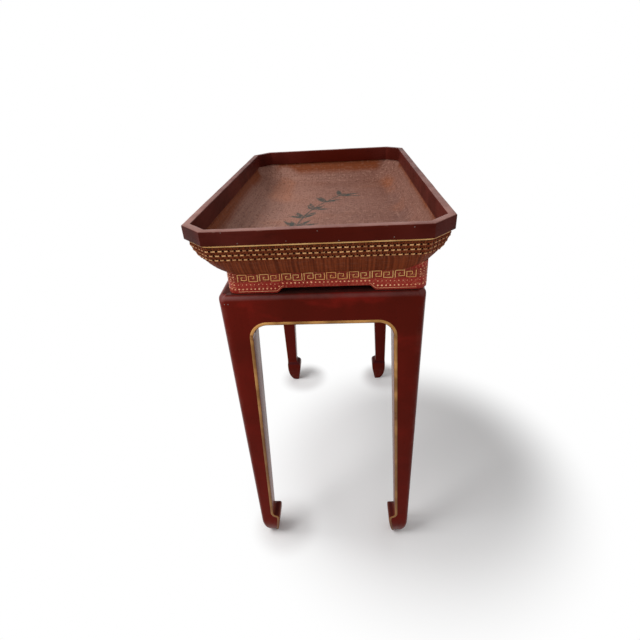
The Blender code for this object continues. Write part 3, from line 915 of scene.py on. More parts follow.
def outer_curve(angle, offset=0.0):
    """Inset, height and outward slope on the outside of the bowl, moved out by an offset."""
    width = FOOT_INSET - SHELL_INSET
    depth = SHELL_TOP - SHELL_BOTTOM
    left, down = bowl_shares(angle)
    slope = Vector((depth * left ** (BOWL_POWER - 1), width * down ** (BOWL_POWER - 1))).normalized()
    inset = SHELL_INSET + width * (1 - left) - slope.x * offset
    return inset, SHELL_TOP - depth * down - slope.y * offset, slope


def inner_curve(angle):
    width = SHELL_FLOOR_INSET - SHELL_INNER_INSET
    depth = LIP_BOTTOM - FLOOR_TOP
    left, down = bowl_shares(angle)
    return SHELL_INNER_INSET + width * (1 - left), LIP_BOTTOM - depth * down


def angle_at(height):
    share = (SHELL_TOP - height) / (SHELL_TOP - SHELL_BOTTOM)
    return math.asin(share ** (BOWL_POWER / 2))


# Pieces


def add_object(name, mesh):
    piece = bpy.data.objects.new(name, mesh)
    bpy.context.scene.collection.objects.link(piece)
    return piece


def settle(piece, body, slot, *nodes):
    """Ties a finished piece to its body and hides the nodes that it stands for; its slot is not used."""
    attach(piece, body)
    if nodes:
        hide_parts(*nodes)


def mesh_object(name, shape):
    mesh = bpy.data.meshes.new(name)
    shape.to_mesh(mesh)
    shape.free()
    return add_object(name, mesh)


def add_piece(name, shape, finish, body, slot, *nodes):
    piece = mesh_object(name, shape)
    piece.data.materials.append(finish)
    piece.data.shade_smooth()
    piece.data.set_sharp_from_angle(angle=SHARP_ANGLE)
    settle(piece, body, slot, *nodes)


def path_object(name, paths, closed=False, facts=None):
    """Bare edges along paths, with facts at their points, for a tree to give them a body."""
    edges = []
    start = 0
    for path in paths:
        last = start + len(path) - 1
        edges += [(k, k + 1) for k in range(start, last)]
        if closed:
            edges.append((last, start))
        start = last + 1
    return point_object(name, [point for path in paths for point in path], edges, facts)


def point_object(name, points, edges=(), facts=None):
    mesh = bpy.data.meshes.new(name)
    mesh.from_pydata(points, edges, [])
    for label, values in (facts or {}).items():
        if isinstance(values[0], Vector):
            layer = mesh.attributes.new(label, "FLOAT_VECTOR", "POINT")
            layer.data.foreach_set("vector", [part for value in values for part in value])
        else:
            layer = mesh.attributes.new(label, "FLOAT", "POINT")
            layer.data.foreach_set("value", values)
    return add_object(name, mesh)


# Geometry trees


def new_tree(name, inputs):
    """A tree with a mesh in, a mesh out and named inputs, and its group input node."""
    tree = bpy.data.node_groups.new(name, "GeometryNodeTree")
    tree.interface.new_socket("Mesh", in_out="INPUT", socket_type="NodeSocketGeometry")
    for label, kind in inputs.items():
        tree.interface.new_socket(label, in_out="INPUT", socket_type="NodeSocket" + kind)
    tree.interface.new_socket("Mesh", in_out="OUTPUT", socket_type="NodeSocketGeometry")
    nodes = Nodes(tree)
    source = tree.nodes.new("NodeGroupInput")
    given = {socket.name: Wire(nodes, socket) for socket in source.outputs if socket.name}
    return nodes, given


def end_tree(nodes, mesh, given):
    """Smooth shading, real meshes and the finish, which every tree ends in."""
    mesh = nodes.node("GeometryNodeRealizeInstances", None, {0: mesh})
    mesh = nodes.node("GeometryNodeSetShadeSmooth", None, {0: mesh})
    mesh = nodes.node("GeometryNodeSetMaterial", None, {0: mesh, "Material": given["Finish"]})
    end = nodes.tree.nodes.new("NodeGroupOutput")
    nodes.feed(end, {0: mesh})
    return nodes.tree


def round_body(nodes, curve, radius, sides):
    profile = nodes.node("GeometryNodeCurvePrimitiveCircle", None, {"Resolution": sides, "Radius": radius})
    sockets = {"Curve": curve, "Profile Curve": profile, "Fill Caps": True}
    return nodes.node("GeometryNodeCurveToMesh", None, sockets)


def moulding_tree():
    """A round moulding along each path."""
    nodes, given = new_tree("moulding", {"Radius": "Float", "Sides": "Int", "Finish": "Material"})
    curve = nodes.node("GeometryNodeMeshToCurve", None, {0: given["Mesh"]})
    return end_tree(nodes, round_body(nodes, curve, given["Radius"], given["Sides"]), given)


def named(nodes, name, kind):
    return nodes.node("GeometryNodeInputNamedAttribute", {"data_type": kind}, {"Name": name})


def scaled(nodes, vector, share):
    return nodes.node("ShaderNodeVectorMath", {"operation": "SCALE"}, {"Vector": vector, "Scale": share})


def paired_strand_tree():
    """Strands round the basket that close and rise on each stake, and part and sink between stakes."""
    inputs = {
        "Units": "Int",
        "Radius": "Float",
        "Sides": "Int",
        "Close": "Float",
        "Open": "Float",
        "Seat": "Float",
        "Rise": "Float",
        "Finish": "Material",
    }
    nodes, given = new_tree("paired_strands", inputs)
    curve = nodes.node("GeometryNodeMeshToCurve", None, {0: given["Mesh"]})
    sockets = {"Curve": curve, "Count": given["Units"] * STRAND_STEPS}
    curve = nodes.node("GeometryNodeResampleCurve", {"mode": "COUNT"}, sockets)
    share = nodes.node("GeometryNodeSplineParameter")
    turn = share * given["Units"]
    settings = {"noise_dimensions": "1D"}
    seed = turn * STRAY_PACE + named(nodes, "row", "FLOAT") * STRAY_ROW_STEP
    stray = nodes.node("ShaderNodeTexNoise", settings, {"W": seed, "Scale": 1.0, "Detail": 0.0})
    wave = nodes.sum("COSINE", (turn + (stray - 0.5) * STRAND_STRAY) * (2 * math.pi), 0.0)
    on_stake = nodes.mask(wave, *STRAND_WAVE)
    sockets = {"Geometry": curve, "Name": "raise", "Value": on_stake}
    curve = nodes.node("GeometryNodeStoreNamedAttribute", {"data_type": "FLOAT"}, sockets)
    part = given["Open"] + on_stake * (given["Close"] - given["Open"])
    lift = given["Seat"] + on_stake * given["Rise"]
    up = scaled(nodes, named(nodes, "up", "FLOAT_VECTOR"), part * named(nodes, "side", "FLOAT"))
    out = scaled(nodes, named(nodes, "out", "FLOAT_VECTOR"), lift)
    move = nodes.node("ShaderNodeVectorMath", {"operation": "ADD"}, {0: up, 1: out})
    curve = nodes.node("GeometryNodeSetPosition", None, {"Geometry": curve, "Offset": move})
    return end_tree(nodes, round_body(nodes, curve, given["Radius"], given["Sides"]), given)


def studding_tree():
    """One motif set on every point, turned and sized by the point's facts."""
    nodes, given = new_tree("studding", {"Motif": "Object", "Finish": "Material"})
    motif = nodes.node("GeometryNodeObjectInfo", None, {"Object": given["Motif"]}, output="Geometry")
    turn = nodes.node("FunctionNodeEulerToRotation", None, {0: named(nodes, "turn", "FLOAT_VECTOR")})
    sockets = {
        "Points": given["Mesh"],
        "Instance": motif,
        "Rotation": turn,
        "Scale": named(nodes, "size", "FLOAT"),
    }
    return end_tree(nodes, nodes.node("GeometryNodeInstanceOnPoints", None, sockets), given)


def grow(piece, tree, sizes):
    """Runs a tree on a piece and keeps the result as its plain mesh."""
    step = piece.modifiers.new(tree.name, "NODES")
    step.node_group = tree
    for socket in tree.interface.items_tree:
        if socket.in_out == "INPUT" and socket.name in sizes:
            step[socket.identifier] = sizes[socket.name]
    graph = bpy.context.evaluated_depsgraph_get()
    grown = bpy.data.meshes.new_from_object(piece.evaluated_get(graph))
    piece.modifiers.remove(step)
    piece.data = grown
    grown.set_sharp_from_angle(angle=SHARP_ANGLE)


def mould(name, tree, paths, radius, sides, finish, closed=False):
    """A piece made of a round moulding along each path."""
    piece = path_object(name, paths, closed)
    grow(piece, tree, {"Radius": radius, "Sides": sides, "Finish": finish})
    return piece


def motif_place(plan, height, turn, size=1.0):
    """A place for a motif: a point, its turn about Z and its size."""
    return Vector((*plan, height)), Vector((0.0, 0.0, turn)), size


def stud(name, tree, shape, places, finish):
    """A piece made of one motif at each place."""
    motif = mesh_object(name + "_motif", shape)
    points, turns, sizes = zip(*places)
    piece = point_object(name, points, facts={"turn": turns, "size": sizes})
    grow(piece, tree, {"Motif": motif, "Finish": finish})
    bpy.data.objects.remove(motif)
    return piece


# Stand


def hoof_tuck(height):
    """How far a leg's outer faces turn in at a height above the floor."""
    below = max(0.0, 1 - height / HOOF_TUCK_HEIGHT)
    return HOOF_TUCK * (1 - math.sqrt(1 - below**2))


def leg_profile():
    """Width and height of a leg up its inner face, from the toe to the apron."""
    taper = (LEG_WIDTH - ANKLE_WIDTH) / (SPANDREL_BOTTOM - NOTCH_HEIGHT)
    toe = [
        Vector((TOE_REACH - TOE_UNDERCUT, 0.0)),
        Vector((TOE_REACH, HOOF_TUCK_HEIGHT)),
        Vector((TOE_REACH, TOE_HEIGHT)),
        Vector((ANKLE_WIDTH, NOTCH_HEIGHT)),
        Vector((ANKLE_WIDTH + taper * NOTCH_SOFTNESS, NOTCH_HEIGHT + NOTCH_SOFTNESS)),
    ]
    top = Vector((LEG_WIDTH, SPANDREL_BOTTOM))
    profile = softened(toe)
    start = profile[-1]
    return profile + [start.lerp(top, (k + 1) / LEG_LEVELS) for k in range(LEG_LEVELS)]


def width_at(profile, height):
    for low, high in zip(profile, profile[1:]):
        if height <= high.y:
            return low.x + (high.x - low.x) * (height - low.y) / (high.y - low.y)
    return profile[-1].x


def leg_ring(corner, height, low, high, radius, ease):
    """Plan of a leg from low to high in from the outer faces, its outer corner the roundest."""
    plan = arc((low + radius, low + radius), radius, math.pi, QUARTER, CORNER_STEPS, rub=CORNER_WEAR)
    near = low + ease
    far = high - ease
    for centre, start in (((far, near), 3 * QUARTER), ((far, far), 0.0), ((near, far), QUARTER)):
        plan += arc(centre, ease, start, QUARTER, EASE_STEPS, rub=1.0)
    ring = []
    for x, y, rub in plan:
        point = Vector((corner[0] * (HALF_WIDTH - x), corner[1] * (HALF_LENGTH - y), height))
        ring.append((point, rub))
    return ring


def leg_shape(corner):
    profile = leg_profile()
    hoof = [HOOF_TUCK_HEIGHT * (k / HOOF_STEPS) ** 2 for k in range(HOOF_STEPS)]
    rings = []
    for height in sorted({point.y for point in profile} | set(hoof)):
        rise = height / SPANDREL_BOTTOM
        radius = ANKLE_RADIUS + (CORNER_RADIUS - ANKLE_RADIUS) * rise
        sizes = (hoof_tuck(height), width_at(profile, height), radius, LEG_EASE)
        rings.append(leg_ring(corner, height, *sizes))
    for height in (SPANDREL_BOTTOM, RAIL_BOTTOM):
        rings.append(leg_ring(corner, height, 0.0, LEG_WIDTH - SPANDREL_TIP, CORNER_RADIUS, JOINT_EASE))
    return loft(rings)


def spandrel_centre(half):
    return half - LEG_WIDTH - SPANDREL_RADIUS, SPANDREL_BOTTOM


def apron_shape(side):
    """A straight board with rounded spandrels that run down into the legs."""
    half = side_half(side, STAND)
    centre = spandrel_centre(half)
    end = half - LEG_WIDTH + SPANDREL_TIP
    right = [(x, z) for x, z, _ in arc(centre, SPANDREL_RADIUS, QUARTER, -QUARTER, SPANDREL_STEPS)]
    right += [(end, SPANDREL_BOTTOM), (end, RAIL_BOTTOM)]
    outline = mirrored(right) + right
    rings = []
    for inward in (0.0, APRON_THICKNESS):
        rings.append([(Vector((*side_point(side, STAND, x, inward), z)), 0.0) for x, z in outline])
    return loft(rings)


def rail_ring(side, angle):
    """Plan of a mitred rail, turned by an angle over its upper edge, which is rounder at the corners."""
    half = side_half(side, STAND)
    right = []
    for k in range(CORNER_STEPS + 1):
        share = k / CORNER_STEPS
        radius = TOP_EDGE_RADIUS + (SHOULDER_RADIUS - TOP_EDGE_RADIUS) * smooth_step(share)
        reach = CORNER_RADIUS - radius * (1 - math.cos(angle))
        heading = (share / 2 - 1) * QUARTER
        x = half - CORNER_RADIUS + reach * math.cos(heading)
        y = CORNER_RADIUS + reach * math.sin(heading)
        right.append((x, y, radius, math.sin(2 * angle)))
    right.append((half - RAIL_WIDTH, RAIL_WIDTH, TOP_EDGE_RADIUS, 0.0))
    ring = []
    for x, y, radius, wear in mirrored(right) + right:
        height = STAND_TOP - radius * (1 - math.sin(angle))
        ring.append((Vector((*side_point(side, STAND, x, y), height)), wear))
    return ring


def rail_shape(side):
    rings = [rail_ring(side, QUARTER * k / EDGE_STEPS) for k in range(EDGE_STEPS + 1)]
    foot = [(Vector((point.x, point.y, RAIL_BOTTOM)), 0.0) for point, _ in rings[0]]
    return loft([foot] + rings)


def arch_path(side):
    """Middle of the bead round an arch: up a toe and a leg, along the apron and down again."""
    half = side_half(side, STAND)
    right = []
    for width, height in shifted(leg_profile(), BEAD_RADIUS):
        if height > 2 * BEAD_RADIUS:
            right.append((half - width, height, hoof_tuck(height)))
    centre = spandrel_centre(half)
    for x, z, _ in arc(centre, SPANDREL_RADIUS + BEAD_RADIUS, 0.0, QUARTER, SPANDREL_STEPS)[1:]:
        right.append((x, z, 0.0))
    whole = right + mirrored(right)
    return [Vector((*side_point(side, STAND, x, inward + BEAD_SEAT), z)) for x, z, inward in whole]


def pin_places():
    """Pins side by side on the rounded front corner of the left leg."""
    places = []
    for x in PIN_PLACES:
        turn = math.asin(max(0.0, CORNER_RADIUS - HALF_WIDTH - x) / CORNER_RADIUS)
        inward = CORNER_RADIUS * (1 - math.cos(turn))
        places.append(motif_place((x, inward - HALF_LENGTH), PIN_HEIGHT, -turn))
    return places


def add_stand(moulding, studding, iron):
    lacquer = stand_lacquer()
    gold = gilding("bead_gilding", (208, 152, 86), (146, 100, 48), (0.60, 0.82))
    for corner, name in CORNERS.items():
        leg = "leg_" + name
        add_piece("lacquered_" + leg, leg_shape(corner), lacquer, "stand", "stand_lacquer", leg)
    for side in SIDES:
        for kind, shape in (("apron_", apron_shape), ("top_rail_", rail_shape)):
            board = kind + side
            add_piece("lacquered_" + board, shape(side), lacquer, "stand", "stand_lacquer", board)
    arches = [arch_path(side) for side in SIDES]
    beads = mould("gilt_beads", moulding, arches, BEAD_RADIUS, BEAD_SIDES, gold)
    settle(beads, "stand", "gilt_cane")
    pins = stud("leg_pins", studding, dome(NAIL_RADIUS, NAIL_DOME), pin_places(), iron)
    settle(pins, "stand", "stand_lacquer")
    give_finish(["top_panel"], lacquer)


def give_finish(nodes, finish):
    """Puts a finish on solids of the frame that stay as they are."""
    for name in nodes:
        frame["nodes"][name].material_slots[0].material = finish


# Tray rim


def rim_section():
    """Inset, height and wear round a rim board: a board with a lip inside the basket's edge."""
    lip_outer = SHELL_INNER_INSET + CLEARANCE
    outline = [
        (0.0, RIM_TOP),
        (RIM_THICKNESS, RIM_TOP),
        (RIM_THICKNESS, LIP_BOTTOM),
        (lip_outer, LIP_BOTTOM),
        (lip_outer, RIM_BOTTOM),
        (0.0, RIM_BOTTOM),
    ]
    return rounded(outline, RIM_TURNS)


def uneven(point):
    """A point moved a little, as on boards planed by hand."""
    return point + noise.noise_vector(point * RIM_WAVES) * RIM_UNEVEN


def rim_shape(k):
    section = [(octagon(inset), height, rub) for inset, height, rub in rim_section()]
    corners = octagon(0.0)
    steps = math.ceil((corners[(k + 1) % 8] - corners[k]).length / RIM_STEP)
    rings = []
    for step in range(steps + 1):
        ring = []
        for edge, height, rub in section:
            point = edge[k].lerp(edge[(k + 1) % 8], step / steps)
            ring.append((uneven(Vector((*point, height))), rub))
        rings.append(ring)
    return loft(rings)


def dome(radius, height):
    """A low round head that faces the front, with a flat back."""
    rings = []
    for reach, rise in DOME_RINGS:
        circle = arc((0.0, 0.0), radius * reach, 0.0, 2 * math.pi, DOME_SIDES)[:-1]
        rings.append([(Vector((x, -height * rise, z)), 0.0) for x, z, _ in circle])
    return loft(rings)


def nail_places():
    """Nails along the foot and the head of the four long rim boards, off their ends."""
    scatter = random.Random(NAIL_SEED)
    rows = (
        (RIM_TOP - NAIL_FROM_TOP, UPPER_NAIL_SPACING),
        (RIM_BOTTOM + NAIL_FROM_BOTTOM, LOWER_NAIL_SPACING),
    )
    places = []
    for side, turn in SIDE_TURNS.items():
        half = side_half(side, RIM) - RIM_CHAMFER
        for height, spacing in rows:
            count = int(2 * half / spacing - NAIL_END_SPACE)
            for k in range(count + 1):
                along = (k - count / 2) * spacing + scatter.uniform(-NAIL_SCATTER, NAIL_SCATTER)
                level = height + scatter.uniform(-NAIL_SCATTER, NAIL_SCATTER) / NAIL_STRAIGHTNESS
                plan = side_point(side, RIM, along, 0.0)
                places.append(motif_place(plan, level, turn, scatter.uniform(*NAIL_SIZES)))
    return places


def add_rim(studding, iron):
    noise.seed_set(RIM_SEED)
    lacquer = rim_lacquer()
    for k, name in enumerate(RIM_BOARDS):
        add_piece("rim_board_" + name, rim_shape(k), lacquer, "tray", "rim_lacquer", "rim_" + name)
    nails = stud("rim_nails", studding, dome(NAIL_RADIUS, NAIL_DOME), nail_places(), iron)
    settle(nails, "tray", "rim_lacquer")


# Basket


def leaf_ink(point, base, angle, length):
    """How much ink a pointed leaf leaves at a point of the floor."""
    direction = Vector((math.cos(angle), math.sin(angle)))
    away = point - base
    share = away.dot(direction) / length
    if share <= 0 or share >= 1:
        return 0.0
    reach = LEAF_HALF_WIDTH * math.sin(math.pi * share**LEAF_TAPER)
    return ink_edge(reach - abs(direction.cross(away)))


def ink_edge(depth):
    """Ink at a depth inside the edge of a stroke."""
    return smooth_step(depth / INK_SOFTNESS + 0.5)


def sprig_point(share):
    along = SPRIG_END - SPRIG_START
    side = Vector((-along.y, along.x)).normalized()
    return SPRIG_START + along * share + side * SPRIG_BEND * math.sin(math.pi * share)


def sprig_leaves():
    """Base, direction and length of each leaf, in bunches along the stem."""
    scatter = random.Random(SPRIG_SEED)
    leaves = []
    for node in range(SPRIG_NODES):
        share = (node + SPRIG_FIRST) / SPRIG_NODES
        base = sprig_point(share)
        ahead = sprig_point(share + SPRIG_STEP) - base
        heading = math.atan2(ahead.y, ahead.x)
        for spread in LEAF_SPREAD[node % 2 :: 2] + LEAF_SPREAD[1:3]:
            angle = heading + math.radians(spread + scatter.uniform(-LEAF_STRAY, LEAF_STRAY))
            leaves.append((base, angle, LEAF_LENGTH * scatter.uniform(*LEAF_SIZES)))
    return leaves


def sprig_ink(point, leaves):
    ink = max(leaf_ink(point, *leaf) for leaf in leaves)
    along = SPRIG_END - SPRIG_START
    share = (point - SPRIG_START).dot(along) / along.length_squared
    if 0 < share < 1:
        away = (point - sprig_point(share)).length
        ink = max(ink, ink_edge(STEM_HALF_WIDTH - away))
    return ink


class Basket:
    """The woven shell: outside, edge, inside and floor in one closed skin."""

    def __init__(self):
        self.shape = bmesh.new()
        self.inside = self.shape.verts.layers.float.new("inside")
        self.lattice_shade = self.shape.verts.layers.float.new("lattice_shade")
        self.ink = self.shape.verts.layers.float.new("ink")
        self.relief = {}
        self.leaves = sprig_leaves()

    def ring(self, inset, height, row, relief, inside):
        """One row of the weave all round the bowl."""
        knots = []
        for column, point in enumerate(ring_points(*bowl_level(inset, height), STRANDS_ROUND)):
            knots.append(self.knot(Vector((*point, height)), column, row, relief, inside))
        return knots

    def knot(self, point, column, row, relief, inside):
        """One crossing of two strands, raised or sunk in turn."""
        knot = self.shape.verts.new(point)
        knot[self.inside] = inside
        knot[self.lattice_shade] = 0.0 if inside else smooth_step((point.z - LATTICE_BOTTOM) / LATTICE_SHADE_SOFTNESS)
        self.relief[knot] = relief * (-1) ** (column + row)
        return knot

    def wall(self):
        rows = []
        for k in reversed(range(OUTER_ROWS + 1)):
            inset, height, _ = outer_curve(QUARTER * k / OUTER_ROWS)
            relief = BODY_RELIEF if height < LATTICE_BOTTOM and k < OUTER_ROWS else 0.0
            rows.append(self.ring(inset, height, k, relief, 0.0))
        rows.append(self.ring(SHELL_INNER_INSET, SHELL_TOP, 0, 0.0, 1.0))
        for k in range(INNER_ROWS + 1):
            relief = WEAVE_RELIEF if 0 < k < INNER_ROWS else 0.0
            rows.append(self.ring(*inner_curve(QUARTER * k / INNER_ROWS), k, relief, 1.0))
        self.shape.faces.new(rows[0])
        join_rows(self.shape, rows)
        return rows[-1]

    def floor(self, edge):
        """A grid of strands inside the wall's last row, with small fans in its cut corners."""
        corners, reach = bowl_level(SHELL_FLOOR_INSET, FLOOR_TOP)
        cut = corners[1].x - corners[2].x + reach
        xs = floor_lines(corners[2].x - reach, cut, SHORT_STRANDS)
        ys = floor_lines(corners[1].y - reach, cut, LONG_STRANDS)
        knots, fans = floor_edge(edge, len(xs) - 1, len(ys) - 1)
        for i, x in enumerate(xs):
            for j, y in enumerate(ys):
                if (i, j) not in knots and not in_cut_corner(i, j, len(xs), len(ys)):
                    knots[i, j] = self.floor_knot(x, y, i, j)
        for i in range(len(xs) - 1):
            for j in range(len(ys) - 1):
                if not in_cut_corner(i, j, len(xs) - 1, len(ys) - 1):
                    self.shape.faces.new((knots[i, j], knots[i + 1, j], knots[i + 1, j + 1], knots[i, j + 1]))
        for fan, inner in fans:
            self.shape.faces.new(fan + [knots[place] for place in inner])

    def floor_knot(self, x, y, i, j):
        sag = FLOOR_SAG * noise.noise(Vector((x, y, 0.0)) * FLOOR_WAVES)
        knot = self.knot(Vector((x, y, FLOOR_TOP + sag)), i, j, WEAVE_RELIEF, 1.0)
        knot[self.ink] = sprig_ink(Vector((x, y)), self.leaves)
        return knot

    def finished(self):
        bmesh.ops.recalc_face_normals(self.shape, faces=self.shape.faces)
        self.shape.normal_update()
        moves = [(knot, knot.normal * relief) for knot, relief in self.relief.items()]
        for knot, move in moves:
            knot.co += move
        return self.shape


def floor_edge(edge, last_i, last_j):
    """Places of the wall's last row in the floor's grid, and the rim of each corner's fan."""
    sides = [
        [(last_i, EDGE_LINES + k) for k in range(LONG_STRANDS + 1)],
        [(last_i - EDGE_LINES - k, last_j) for k in range(SHORT_STRANDS + 1)],
        [(0, last_j - EDGE_LINES - k) for k in range(LONG_STRANDS + 1)],
        [(EDGE_LINES + k, 0) for k in range(SHORT_STRANDS + 1)],
    ]
    knots = {}
    fans = []
    start = 0
    for k, side in enumerate(sides):
        for step, place in enumerate(side):
            knots[place] = edge[(start + step) % len(edge)]
        first = start + len(side) - 1
        start = first + CORNER_STRANDS
        fan = [edge[place % len(edge)] for place in range(first, start + 1)]
        fans.append((fan, fan_inner(side[-1], sides[(k + 1) % 4][0], k)))
    return knots, fans


def floor_lines(reach, cut, strands):
    """Places of the floor's strands one way: close to even, with a few in the width of the cut."""
    middle = [reach * (2 * k / strands - 1) for k in range(strands + 1)]
    outside = [reach + cut * (k + 1) / EDGE_LINES for k in range(EDGE_LINES)]
    return [-x for x in reversed(outside)] + middle + outside


def in_cut_corner(i, j, count_i, count_j):
    return min(i, count_i - 1 - i) < EDGE_LINES and min(j, count_j - 1 - j) < EDGE_LINES


def fan_inner(start, end, k):
    """Grid places that close a corner's fan, from the end of its arc back to the start."""
    inner = (start[0], end[1]) if k % 2 else (end[0], start[1])
    return between(end, inner) + [inner] + between(inner, start)


def between(first, last):
    """Grid places on the straight way between two places that are a cut corner's width apart."""
    step_i = (last[0] - first[0]) // EDGE_LINES
    step_j = (last[1] - first[1]) // EDGE_LINES
    return [(first[0] + step_i * k, first[1] + step_j * k) for k in range(1, EDGE_LINES)]


def add_basket():
    """Adds the shell and gives back its surface, which the foot boards are shaped to."""
    basket = Basket()
    basket.floor(basket.wall())
    shape = basket.finished()
    surface = BVHTree.FromBMesh(shape)
    add_piece("woven_basket", shape, lacquered_weave(), "tray", "lacquered_weave", "basket_shell")
    return surface


# Lattice and strip


def band_ring(height, offset):
    """Points round the bowl at a height, with the outward and the upward direction at each."""
    inset, level, slope = outer_curve(angle_at(height), offset)
    points = [Vector((*point, level)) for point in ring_points(*bowl_level(inset, level), BAND_POINTS)]
    outs, ups = [], []
    for k, point in enumerate(points):
        run = points[(k + 1) % len(points)] - points[k - 1]
        level_out = Vector((run.y, -run.x, 0.0)).normalized()
        outs.append(level_out * slope.x - Vector((0.0, 0.0, slope.y)))
        ups.append(level_out * slope.y + Vector((0.0, 0.0, slope.x)))
    return points, outs, ups


def around(ring):
    """A ring as a path that ends where it starts."""
    return ring + ring[:1]


def add_stakes(moulding, cane, units):
    """Upright stakes round the bowl, one for each unit."""
    rise = (STRIP_BOTTOM - LATTICE_BOTTOM) / (STAKE_LEVELS - 1)
    levels = [around(band_ring(LATTICE_BOTTOM + rise * k, STAKE_SEAT)[0]) for k in range(STAKE_LEVELS)]
    paths = [[along_path(level, unit / units) for level in levels] for unit in range(units)]
    stakes = mould("lattice_stakes", moulding, paths, STAKE_RADIUS, STRAND_SIDES, cane)
    settle(stakes, "tray", "lattice_cane", "lattice_band")


def add_pairs(strands, cane, units):
    """Rows of paired strands round the bowl."""
    rings = []
    facts = {"out": [], "up": [], "side": [], "row": []}
    for row, height in enumerate(LATTICE_ROWS):
        for side in (-1.0, 1.0):
            points, outs, ups = band_ring(height, 0.0)
            rings.append(points)
            facts["out"] += outs
            facts["up"] += ups
            facts["side"] += [side] * len(points)
            facts["row"] += [float(row)] * len(points)
    pairs = path_object("lattice_strands", rings, closed=True, facts=facts)
    sizes = {
        "Units": units,
        "Radius": STRAND_RADIUS,
        "Sides": STRAND_SIDES,
        "Close": STRAND_CLOSE,
        "Open": STRAND_OPEN,
        "Seat": STRAND_SEAT,
        "Rise": STRAND_RISE,
        "Finish": cane,
    }
    grow(pairs, strands, sizes)
    settle(pairs, "tray", "lattice_cane", "lattice_band")


def add_lattice(moulding):
    cane = lattice_cane()
    units = round(path_length(around(band_ring(LATTICE_ROWS[1], 0.0)[0])) / LATTICE_UNIT)
    add_stakes(moulding, cane, units)
    add_pairs(paired_strand_tree(), cane, units)


def add_strip(moulding):
    gold = gilding("strip_gilding", (246, 196, 126), (214, 158, 92), (0.64, 0.76))
    height = SHELL_TOP - STRIP_RADIUS
    plan = ring_points(octagon(SHELL_INSET - STRIP_RADIUS / 2), STRIP_TURN, STRIP_POINTS)
    ring = [Vector((*point, height)) for point in plan]
    strip = mould("gilt_strip", moulding, [ring], STRIP_RADIUS, BEAD_SIDES, gold, closed=True)
    settle(strip, "tray", "gilt_cane", "cane_strip")


# Foot frame


def bracket_bottom(side, along):
    """Height of a foot board's lower edge: down on the brackets, lifted between them."""
    low = side_half(side, FOOT) - BRACKET_LENGTH
    return FOOT_BOTTOM + BRACKET_LIFT * smooth_step((low - abs(along)) / BRACKET_SLOPE)


def foot_columns(side):
    """Outer point, inner point and corner share of a foot board at places from its middle to a mitre."""
    half = side_half(side, FOOT)
    low = half - BRACKET_LENGTH
    straight = half - FOOT_RADIUS
    places = [(low - BRACKET_SLOPE) * k / SLOPE_STEPS for k in range(SLOPE_STEPS)]
    places += [low - BRACKET_SLOPE * (1 - k / SLOPE_STEPS) for k in range(SLOPE_STEPS)]
    places += [low + (straight - low) * k / SLOPE_STEPS for k in range(SLOPE_STEPS)]
    columns = [((x, 0.0), (x, FOOT_THICKNESS), 0.0) for x in places]
    corner = arc((straight, FOOT_RADIUS), FOOT_RADIUS, -QUARTER, QUARTER / 2, CORNER_STEPS)
    for k, (x, y, _) in enumerate(corner):
        share = k / CORNER_STEPS
        inner = (straight + (FOOT_RADIUS - FOOT_THICKNESS) * share, FOOT_THICKNESS)
        columns.append(((x, y), inner, share))
    return columns


def foot_point(side, along, inward):
    x, y = side_point(side, FOOT, along, inward)
    return Vector((x + FOOT_SHIFT, y))


def bowl_over(bowl, point):
    """Height at which the basket's outside passes over a plan point of the foot frame."""
    hit = bowl.ray_cast(Vector((*point, FOOT_BOTTOM)), Vector((0.0, 0.0, 1.0)))[0]
    return min(hit.z, FOOT_TOP) + BOARD_SEAT


def foot_ring(bowl, side, sign, outer, inner, share):
    """Section of a foot board at one place, shaped to the bowl above and rubbed on its corner."""
    start = foot_point(side, sign * outer[0], outer[1])
    end = foot_point(side, sign * inner[0], inner[1])
    depth = (end - start).length
    bottom = bracket_bottom(side, outer[0])
    outline = [(0.0, bowl_over(bowl, start)), (depth, bowl_over(bowl, end)), (depth, bottom), (0.0, bottom)]
    ring = []
    for inward, height, rub in rounded(outline, (0.0, 0.0, LEG_EASE, LEG_EASE)):
        point = start.lerp(end, inward / depth)
        outside = share if inward < LEG_EASE else 0.0
        ring.append((Vector((*point, height)), max(rub, outside)))
    return ring


def foot_shape(bowl, side):
    columns = foot_columns(side)
    left = [foot_ring(bowl, side, -1, *column) for column in reversed(columns[1:])]
    right = [foot_ring(bowl, side, 1, *column) for column in columns]
    return loft(left + right)


def foot_face(side, along):
    """Plan point and turn at a distance along a foot board's face, round onto its corners."""
    straight = side_half(side, FOOT) - FOOT_RADIUS
    sign = math.copysign(1, along)
    angle = max(abs(along) - straight, 0.0) / FOOT_RADIUS
    reach = min(abs(along), straight) + FOOT_RADIUS * math.sin(angle)
    point = foot_point(side, sign * reach, FOOT_RADIUS * (1 - math.cos(angle)))
    return point, SIDE_TURNS[side] + sign * angle


def face_places(side, pitch, round_corner=0.5):
    """Places evenly along a foot board's face, up to a share of the way round each corner."""
    whole = 2 * (side_half(side, FOOT) - FOOT_RADIUS + FOOT_RADIUS * QUARTER * round_corner)
    count = round(whole / pitch)
    return [((k + 0.5) / count - 0.5) * whole for k in range(count)]


def fret_unit():
    """Cells that a square spiral passes, counted from the middle of the unit."""
    headings = (Vector((0, 1)), Vector((1, 0)), Vector((0, -1)), Vector((-1, 0)))
    cells = [Vector((-FRET_RUNS[1] / 2, -FRET_RUNS[0] / 2))]
    for k, run in enumerate(FRET_RUNS):
        for _ in range(run):
            cells.append(cells[-1] + headings[k % 4])
    return cells


def fret_paths():
    """Fret units round the foot frame, every other one turned over."""
    paths = []
    for side in SIDES:
        for k, middle in enumerate(face_places(side, FRET_PITCH, 0.0)):
            path = []
            for cell in fret_unit():
                across, up = cell * FRET_CELL * (-1) ** k
                path.append(Vector((*foot_face(side, middle + across)[0], FRET_MIDDLE + up)))
            paths.append(path)
    return paths


